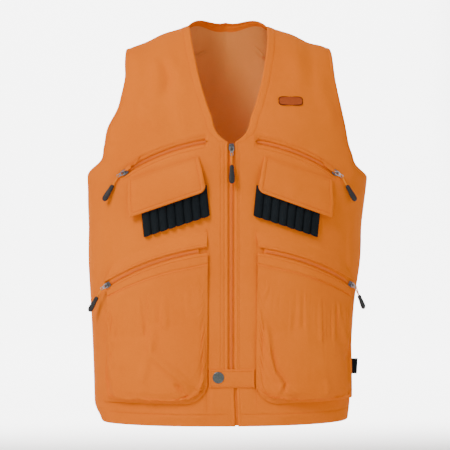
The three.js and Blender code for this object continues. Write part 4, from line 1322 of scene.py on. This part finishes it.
# ---------------------------------------------------------------- bellows pockets
POCKET = {
    "inner": 40, "top": -356, "bottom": -643, "corner": 38, "outer_top": 194, "outer_bottom": 213,
    "thickness": 1.4, "bulge": 17, "edge": 0.9, "flat": 0.2, "lip": 4.6,
}
POCKET_FOLDS = {
    -1: [
        ([(-129, -500), (-131, -556), (-102, -582), (-73, -608), (-48, -622)], 7, 4.2),
        ([(-131, -552), (-138, -580), (-146, -612)], 7, 2.4),
        ([(-92, -603), (-82, -618), (-72, -632)], 3.4, -3.4),
        ([(-66, -612), (-56, -618), (-47, -622)], 2.6, -2.2),
        ([(-194, -462), (-207, -520), (-214, -580), (-213, -630)], 7, 4.5),
        ([(-196, -540), (-203, -590), (-204, -625)], 4, -3.0),
        ([(-130, -446), (-142, -495), (-150, -540)], 14, -2.8),
        ([(-186, -520), (-184, -555), (-178, -590)], 13, 2.2),
        ([(-120, -622), (-150, -628), (-190, -622)], 6, -1.2),
    ],
    1: [
        ([(56, -500), (62, -556), (70, -588), (82, -606), (74, -630)], 5.5, 3.4),
        ([(64, -540), (74, -585), (88, -606), (80, -632)], 3.4, -2.8),
        ([(84, -612), (94, -622), (106, -630)], 4, 1.8),
        ([(176, -470), (190, -520), (203, -566)], 7, 3.6),
        ([(186, -540), (192, -580), (188, -618)], 6, -2.0),
        ([(120, -440), (128, -500), (118, -560)], 18, 1.8),
        ([(150, -600), (156, -618), (150, -632)], 6, 1.4),
    ],
}
POCKET_SEAM = 24  # the seam below the zip, measured down from it


def arc_edge(arc, side, s, upward):
    """Where the pocket's cloth meets the zip: |x|, z and the height over the body."""
    at = arc.at(lerp(-0.09, arc.sweep + arc.end * 0.2, s), 0, upward)
    level = level_at(FRONT, at[..., 0], at[..., 2])
    on_cloth = on_front(at[..., 0], at[..., 2], 0)
    normal = body_normal(FRONT, angle_at(at[..., 0], level), level)
    return side * at[..., 0], at[..., 2], np.sum((at - on_cloth) * normal, axis=-1) + POCKET["edge"]


def facing_points(arc, side, s, t):
    """The strip above the pocket's zip. Its top edge is sewn flat into the front."""
    edge_x, edge_z, lift = arc_edge(arc, side, s, POCKET["lip"])
    top_x = lerp(POCKET["inner"], POCKET["outer_top"] - 2, s)
    top_z = lerp(POCKET["top"], -402, s**1.5)
    height = lerp(-0.2, lift + POCKET["thickness"], smooth(t * 1.1))
    height = height + edge_profile((1 - t) * 30, 5)
    return on_front(side * lerp(top_x, edge_x, t), lerp(top_z, edge_z, t), height)


def bellows_outline(arc, side, s, t):
    edge_x, edge_z, lift = arc_edge(arc, side, s, -POCKET["lip"])
    across = (POCKET["outer_bottom"] - POCKET["inner"]) * s
    inset = clamp01(1 - across / POCKET["corner"])
    bottom = POCKET["bottom"] + POCKET["corner"] * (1 - np.sqrt(1 - inset * inset))
    bottom_x = lerp(POCKET["inner"], POCKET["outer_bottom"], s)
    return lerp(edge_x, bottom_x, t), lerp(edge_z, bottom, t), lift


def bellows_point(arc, side, s, t, lift_by=0.0):
    """The pocket's front. It lies flat below the zip, swells to the bellows and turns under at its edges."""
    x, z, lift = bellows_outline(arc, side, s, t)
    top = lerp(lift, CURVED_GAP, smooth(t / 0.5)) + POCKET["thickness"]
    lower_edge = smooth((1 - t) / 0.10) ** 0.75
    bulge = POCKET["bulge"] * smooth((t - POCKET["flat"]) / 0.6) * lower_edge
    bulge = bulge * lerp(smooth(s / 0.09), smooth(s / 0.4), 0.55) * smooth((1 - s) / 0.16)
    calm = smooth((t - 0.16) / 0.12) * smooth((1 - t) / 0.05) * smooth(s / 0.03) * smooth((1 - s) / 0.03)
    creases = 1.5 * folds(side * x, z, POCKET_FOLDS[side]) + ripple(side * x, z, 110, 1.5, 21 + side)
    from_zip = t * 235
    seam = bump_line(from_zip, POCKET_SEAM - POCKET["lip"], 1.5, -1.7)
    seam = seam + 0.5 * smooth((from_zip - POCKET_SEAM + POCKET["lip"]) / 2) * smooth((60 - from_zip) / 30)
    height = top + bulge + calm * creases + seam + edge_profile(from_zip, 5) * smooth((0.97 - t) / 0.05)
    return on_front(side * x, z, height + lift_by)


def pocket_stitches(arc, side):
    rows = []
    s = np.linspace(0.015, 0.985, 120)
    for drop in (4.6, POCKET_SEAM - POCKET["lip"] + 2.2):
        t = np.full(s.shape, drop / 235)
        on_cloth = bellows_point(arc, side, s, t)
        normals = unit(bellows_point(arc, side, s, t, 1.0) - on_cloth)
        rows.append((on_cloth + normals * 0.1, normals))
    t = np.full(s.shape, 1 - 5 / 30)
    on_cloth = facing_points(arc, side, s, t)
    rows.append((on_cloth + np.array([0, -0.12, 0]), np.tile(TOWARD_FRONT, (len(s), 1))))
    return rows


SETTLE = {"frames": 16, "slack": 0.025, "pressure": 0.3, "cap": 4.5}


def settled(points, held):
    """The grid of cloth after a short simulation in which it settles with a little spare length.
    held is 1 where the cloth is sewn down. Points move by no more than the cap, in mm."""
    rows, columns, _ = points.shape
    index = np.arange(rows * columns).reshape(rows, columns)
    quads = np.stack([index[:-1, :-1], index[:-1, 1:], index[1:, 1:], index[1:, :-1]], axis=-1).reshape(-1, 4)
    mesh = bpy.data.meshes.new("settling")
    mesh.from_pydata((points.reshape(-1, 3) * MM).tolist(), [], quads.tolist())
    cloth = bpy.data.objects.new("settling", mesh)
    bpy.context.collection.objects.link(cloth)
    group = cloth.vertex_groups.new(name="held")
    for i, weight in enumerate(held.reshape(-1).tolist()):
        group.add([i], weight, "REPLACE")
    modifier = cloth.modifiers.new("cloth", "CLOTH")
    settings = modifier.settings
    settings.quality = 6
    settings.mass = 0.15
    settings.tension_stiffness = settings.compression_stiffness = 12
    settings.shear_stiffness = 6
    settings.bending_stiffness = 0.6
    settings.vertex_group_mass = "held"
    settings.shrink_min = -SETTLE["slack"]
    settings.use_pressure = True
    settings.uniform_pressure_force = SETTLE["pressure"]
    modifier.collision_settings.use_collision = False
    scene = bpy.context.scene
    for step in range(1, SETTLE["frames"] + 1):
        scene.frame_set(step)
    result = cloth.evaluated_get(bpy.context.evaluated_depsgraph_get()).to_mesh()
    moved_to = np.zeros(rows * columns * 3, np.float32)
    result.vertices.foreach_get("co", moved_to)
    scene.frame_set(1)
    bpy.data.objects.remove(cloth)
    move = moved_to.astype(float).reshape(points.shape) / MM - points
    reach = np.linalg.norm(move, axis=-1, keepdims=True)
    return points + move * np.minimum(1, SETTLE["cap"] / np.maximum(reach, 1e-6))


for side_name, side in SIDES:
    arc = LOWER_ZIP[side]
    s, t = np.meshgrid(np.linspace(0, 1, 90), fine_steps(30, 0, 8, 2.0))
    name = f"{side_name}_pocket_facing"
    points = facing_points(arc, side, s, t)
    add_cloth(f"{name}_cloth", points, POCKET["thickness"], BLAZE, "shell", [name])
    s, t = np.meshgrid(fine_steps(180, 14, 14, 2.2), fine_steps(235, 10, 22, 2.2))
    name = f"{side_name}_pocket_bellows"
    held = 1 - smooth((t - 0.14) / 0.1) * smooth((1 - t) / 0.06) * smooth(s / 0.05) * smooth((1 - s) / 0.05)
    points = settled(bellows_point(arc, side, s, t), held)
    bellows = add_cloth(f"{name}_cloth", points, POCKET["thickness"], BLAZE, "shell", [name])
    add_stitches(f"{side_name}_pocket_stitching", pocket_stitches(arc, side), "shell")


# ---------------------------------------------------------------- snap tab
TAB = {"x": (-37.5, 38.5), "z": (-616, -585), "low": 0.4, "thickness": 1.2}
SNAP = {"x": -22, "z": -598.6, "cap": 9.7}


def tab_edge(x, z):
    return np.minimum(np.minimum(x - TAB["x"][0], TAB["x"][1] - x), np.minimum(z - TAB["z"][0], TAB["z"][1] - z))


columns = lerp(*TAB["x"], fine_steps(TAB["x"][1] - TAB["x"][0], 6, 6, 2.0))
heights = lerp(*TAB["z"], fine_steps(TAB["z"][1] - TAB["z"][0], 6, 6, 2.0))
x, z = np.meshgrid(columns, heights)
trim = edge_profile(tab_edge(x, z), 3.4) + 0.5 * np.exp(-(((x - SNAP["x"]) ** 2 + (z - SNAP["z"]) ** 2) / 240))
tab_points = np.stack([x, FRONT_Y - TAB["low"] - TAB["thickness"] - trim, z], -1)
tab_bend = ("shell", "snap_tab_body", (0.0385, FRONT_Y * MM, -0.6), (0.0335, FRONT_Y * MM, -0.6))
tab = finish_piece("snap_tab_cloth", cloth_mesh("tab", tab_points, TAB["thickness"], TOWARD_FRONT), BLAZE, None,
                   ["snap_tab"])
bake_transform(tab)


def tab_row(x, z):
    x, z = np.broadcast_arrays(np.asarray(x, float), np.asarray(z, float))
    points = np.stack([x, np.full(x.shape, FRONT_Y - TAB["low"] - TAB["thickness"] - 0.1), z], -1)
    return points, np.tile(TOWARD_FRONT, (len(x), 1))


INSET = 3.4
tab_rows = [
    tab_row(np.linspace(TAB["x"][0] + INSET, TAB["x"][1] - INSET, 60), level)
    for level in (TAB["z"][0] + INSET, TAB["z"][1] - INSET)
]
tab_rows.append(tab_row(TAB["x"][0] + INSET, np.linspace(TAB["z"][0] + INSET, TAB["z"][1] - INSET, 24)))
add_stitches("snap_tab_stitching", tab_rows, "snap_tab_body", blended=tab_bend)


def lathe_mesh(name, profile, sides=48):
    """A turned piece about the Y axis through the snap. profile is (radius, height over the cloth)."""
    around = np.arange(sides) * 2 * math.pi / sides
    rings = [
        np.stack([r * np.cos(around) + SNAP["x"], np.full(sides, FRONT_Y - h), r * np.sin(around) + SNAP["z"]], -1)
        for r, h in profile
    ]
    return mesh_of(name, np.concatenate(rings), ring_faces(len(profile), sides))


tab_top = TAB["low"] + TAB["thickness"]
cap_profile = [
    (2.6, -0.2), (2.6, tab_top), (9.2, tab_top + 0.1), (9.7, tab_top + 0.5), (9.6, tab_top + 1.1),
    (9.0, tab_top + 1.5), (8.2, tab_top + 1.4), (7.6, tab_top + 1.0), (6.8, tab_top + 0.8), (5.2, tab_top + 1.0),
    (3.0, tab_top + 1.3), (1.2, tab_top + 1.4), (0.05, tab_top + 1.42),
]
cap_mesh = lathe_mesh("cap", cap_profile)
finish_piece("snap_cap_detail", cap_mesh, GUNMETAL, "snap_tab_body", ["snap_cap"])
stud_back = -CLOTH - CURVED_GAP
stud_profile = [
    (0.05, stud_back - 0.8), (5.4, stud_back - 0.8), (6, stud_back - 0.5), (5.8, stud_back), (2.6, stud_back + 0.1),
    (2.6, -0.8), (2.2, -0.6), (0.05, -0.6),
]
stud_mesh = lathe_mesh("stud", stud_profile)
finish_piece("snap_stud_detail", stud_mesh, GUNMETAL, "shell", ["snap_stud"])


# ---------------------------------------------------------------- badge and side label
BADGE_AT = {"x": 99.5, "z": -139, "half_width": 20.5, "half_height": 7.5, "corner": 5, "thickness": 1.0}


def badge_points(grow, lift, columns=44, rows=26):
    s, t = np.meshgrid(np.linspace(0, 1, columns), crowd_ends(np.linspace(0, 1, rows)))
    across, down = 2 * s - 1, 2 * t - 1
    inset = BADGE_AT["corner"] * (1 - np.sqrt(1 - np.maximum(0, np.abs(down) * 1.6 - 0.6) ** 2))
    x = BADGE_AT["x"] + across * (BADGE_AT["half_width"] - inset + grow)
    z = BADGE_AT["z"] - down * (BADGE_AT["half_height"] + grow)
    edge = np.minimum((1 - np.abs(across)) * BADGE_AT["half_width"], (1 - np.abs(down)) * BADGE_AT["half_height"])
    border = 0.35 * smooth(edge / 0.4) * (1 - smooth((edge - 1.3) / 0.6))
    return skin_point(1, x, z, lift + border)[0]


add_cloth("chest_badge_cloth", badge_points(-0.6, 1.5), 1.2, BADGE, "shell", ["chest_badge"])


def badge_border():
    turns = np.linspace(0, 2 * math.pi, 200, endpoint=False)
    reach = 4.5
    cos, sin = np.cos(turns), np.sin(turns)
    x = BADGE_AT["x"] + np.sign(cos) * np.abs(cos) ** (2 / reach) * (BADGE_AT["half_width"] - 0.6)
    z = BADGE_AT["z"] + np.sign(sin) * np.abs(sin) ** (2 / reach) * (BADGE_AT["half_height"] - 0.6)
    points, normals = skin_point(1, x, z, 1.5)
    along = np.roll(points, -1, 0) - np.roll(points, 1, 0)
    slanted = unit(np.cross(normals, along)) + 0.2 * unit(along)
    return placed("badge_border", bead(0.75, 0.42, 0.5), points, slanted, normals)


finish_piece("chest_badge_border", badge_border(), BADGE_EDGE, "shell")

LABEL = {"z": (-606, -579), "out": 14.0, "thickness": 1.4}


def label_mesh():
    """A short tape folded in two and caught in the side seam."""
    around = np.linspace(-1, 1, 31)
    seam_x = half_width(LABEL["z"][1], 1) - 2.0
    reach = LABEL["out"] * (1 - np.maximum(0, (np.abs(around) - 0.12) / 0.88))
    open_by = LABEL["thickness"] / 2 * np.sqrt(1 - np.maximum(0, 1 - np.abs(around) / 0.15) ** 2) * np.sign(around)
    z, row = np.meshgrid(np.linspace(*LABEL["z"], 24), np.arange(31), indexing="ij")
    slant = (z - LABEL["z"][1]) * 0.05
    x = seam_x + reach[row] + slant * (reach[row] / LABEL["out"])
    y = open_by[row] * (0.7 + 0.3 * reach[row] / LABEL["out"])
    return cloth_mesh("label", np.stack([x, y, z], -1), 0.35, np.array([1.0, 0.0, 0.0]))


finish_piece("side_label_cloth", label_mesh(), ELASTIC, "shell", ["side_label"])
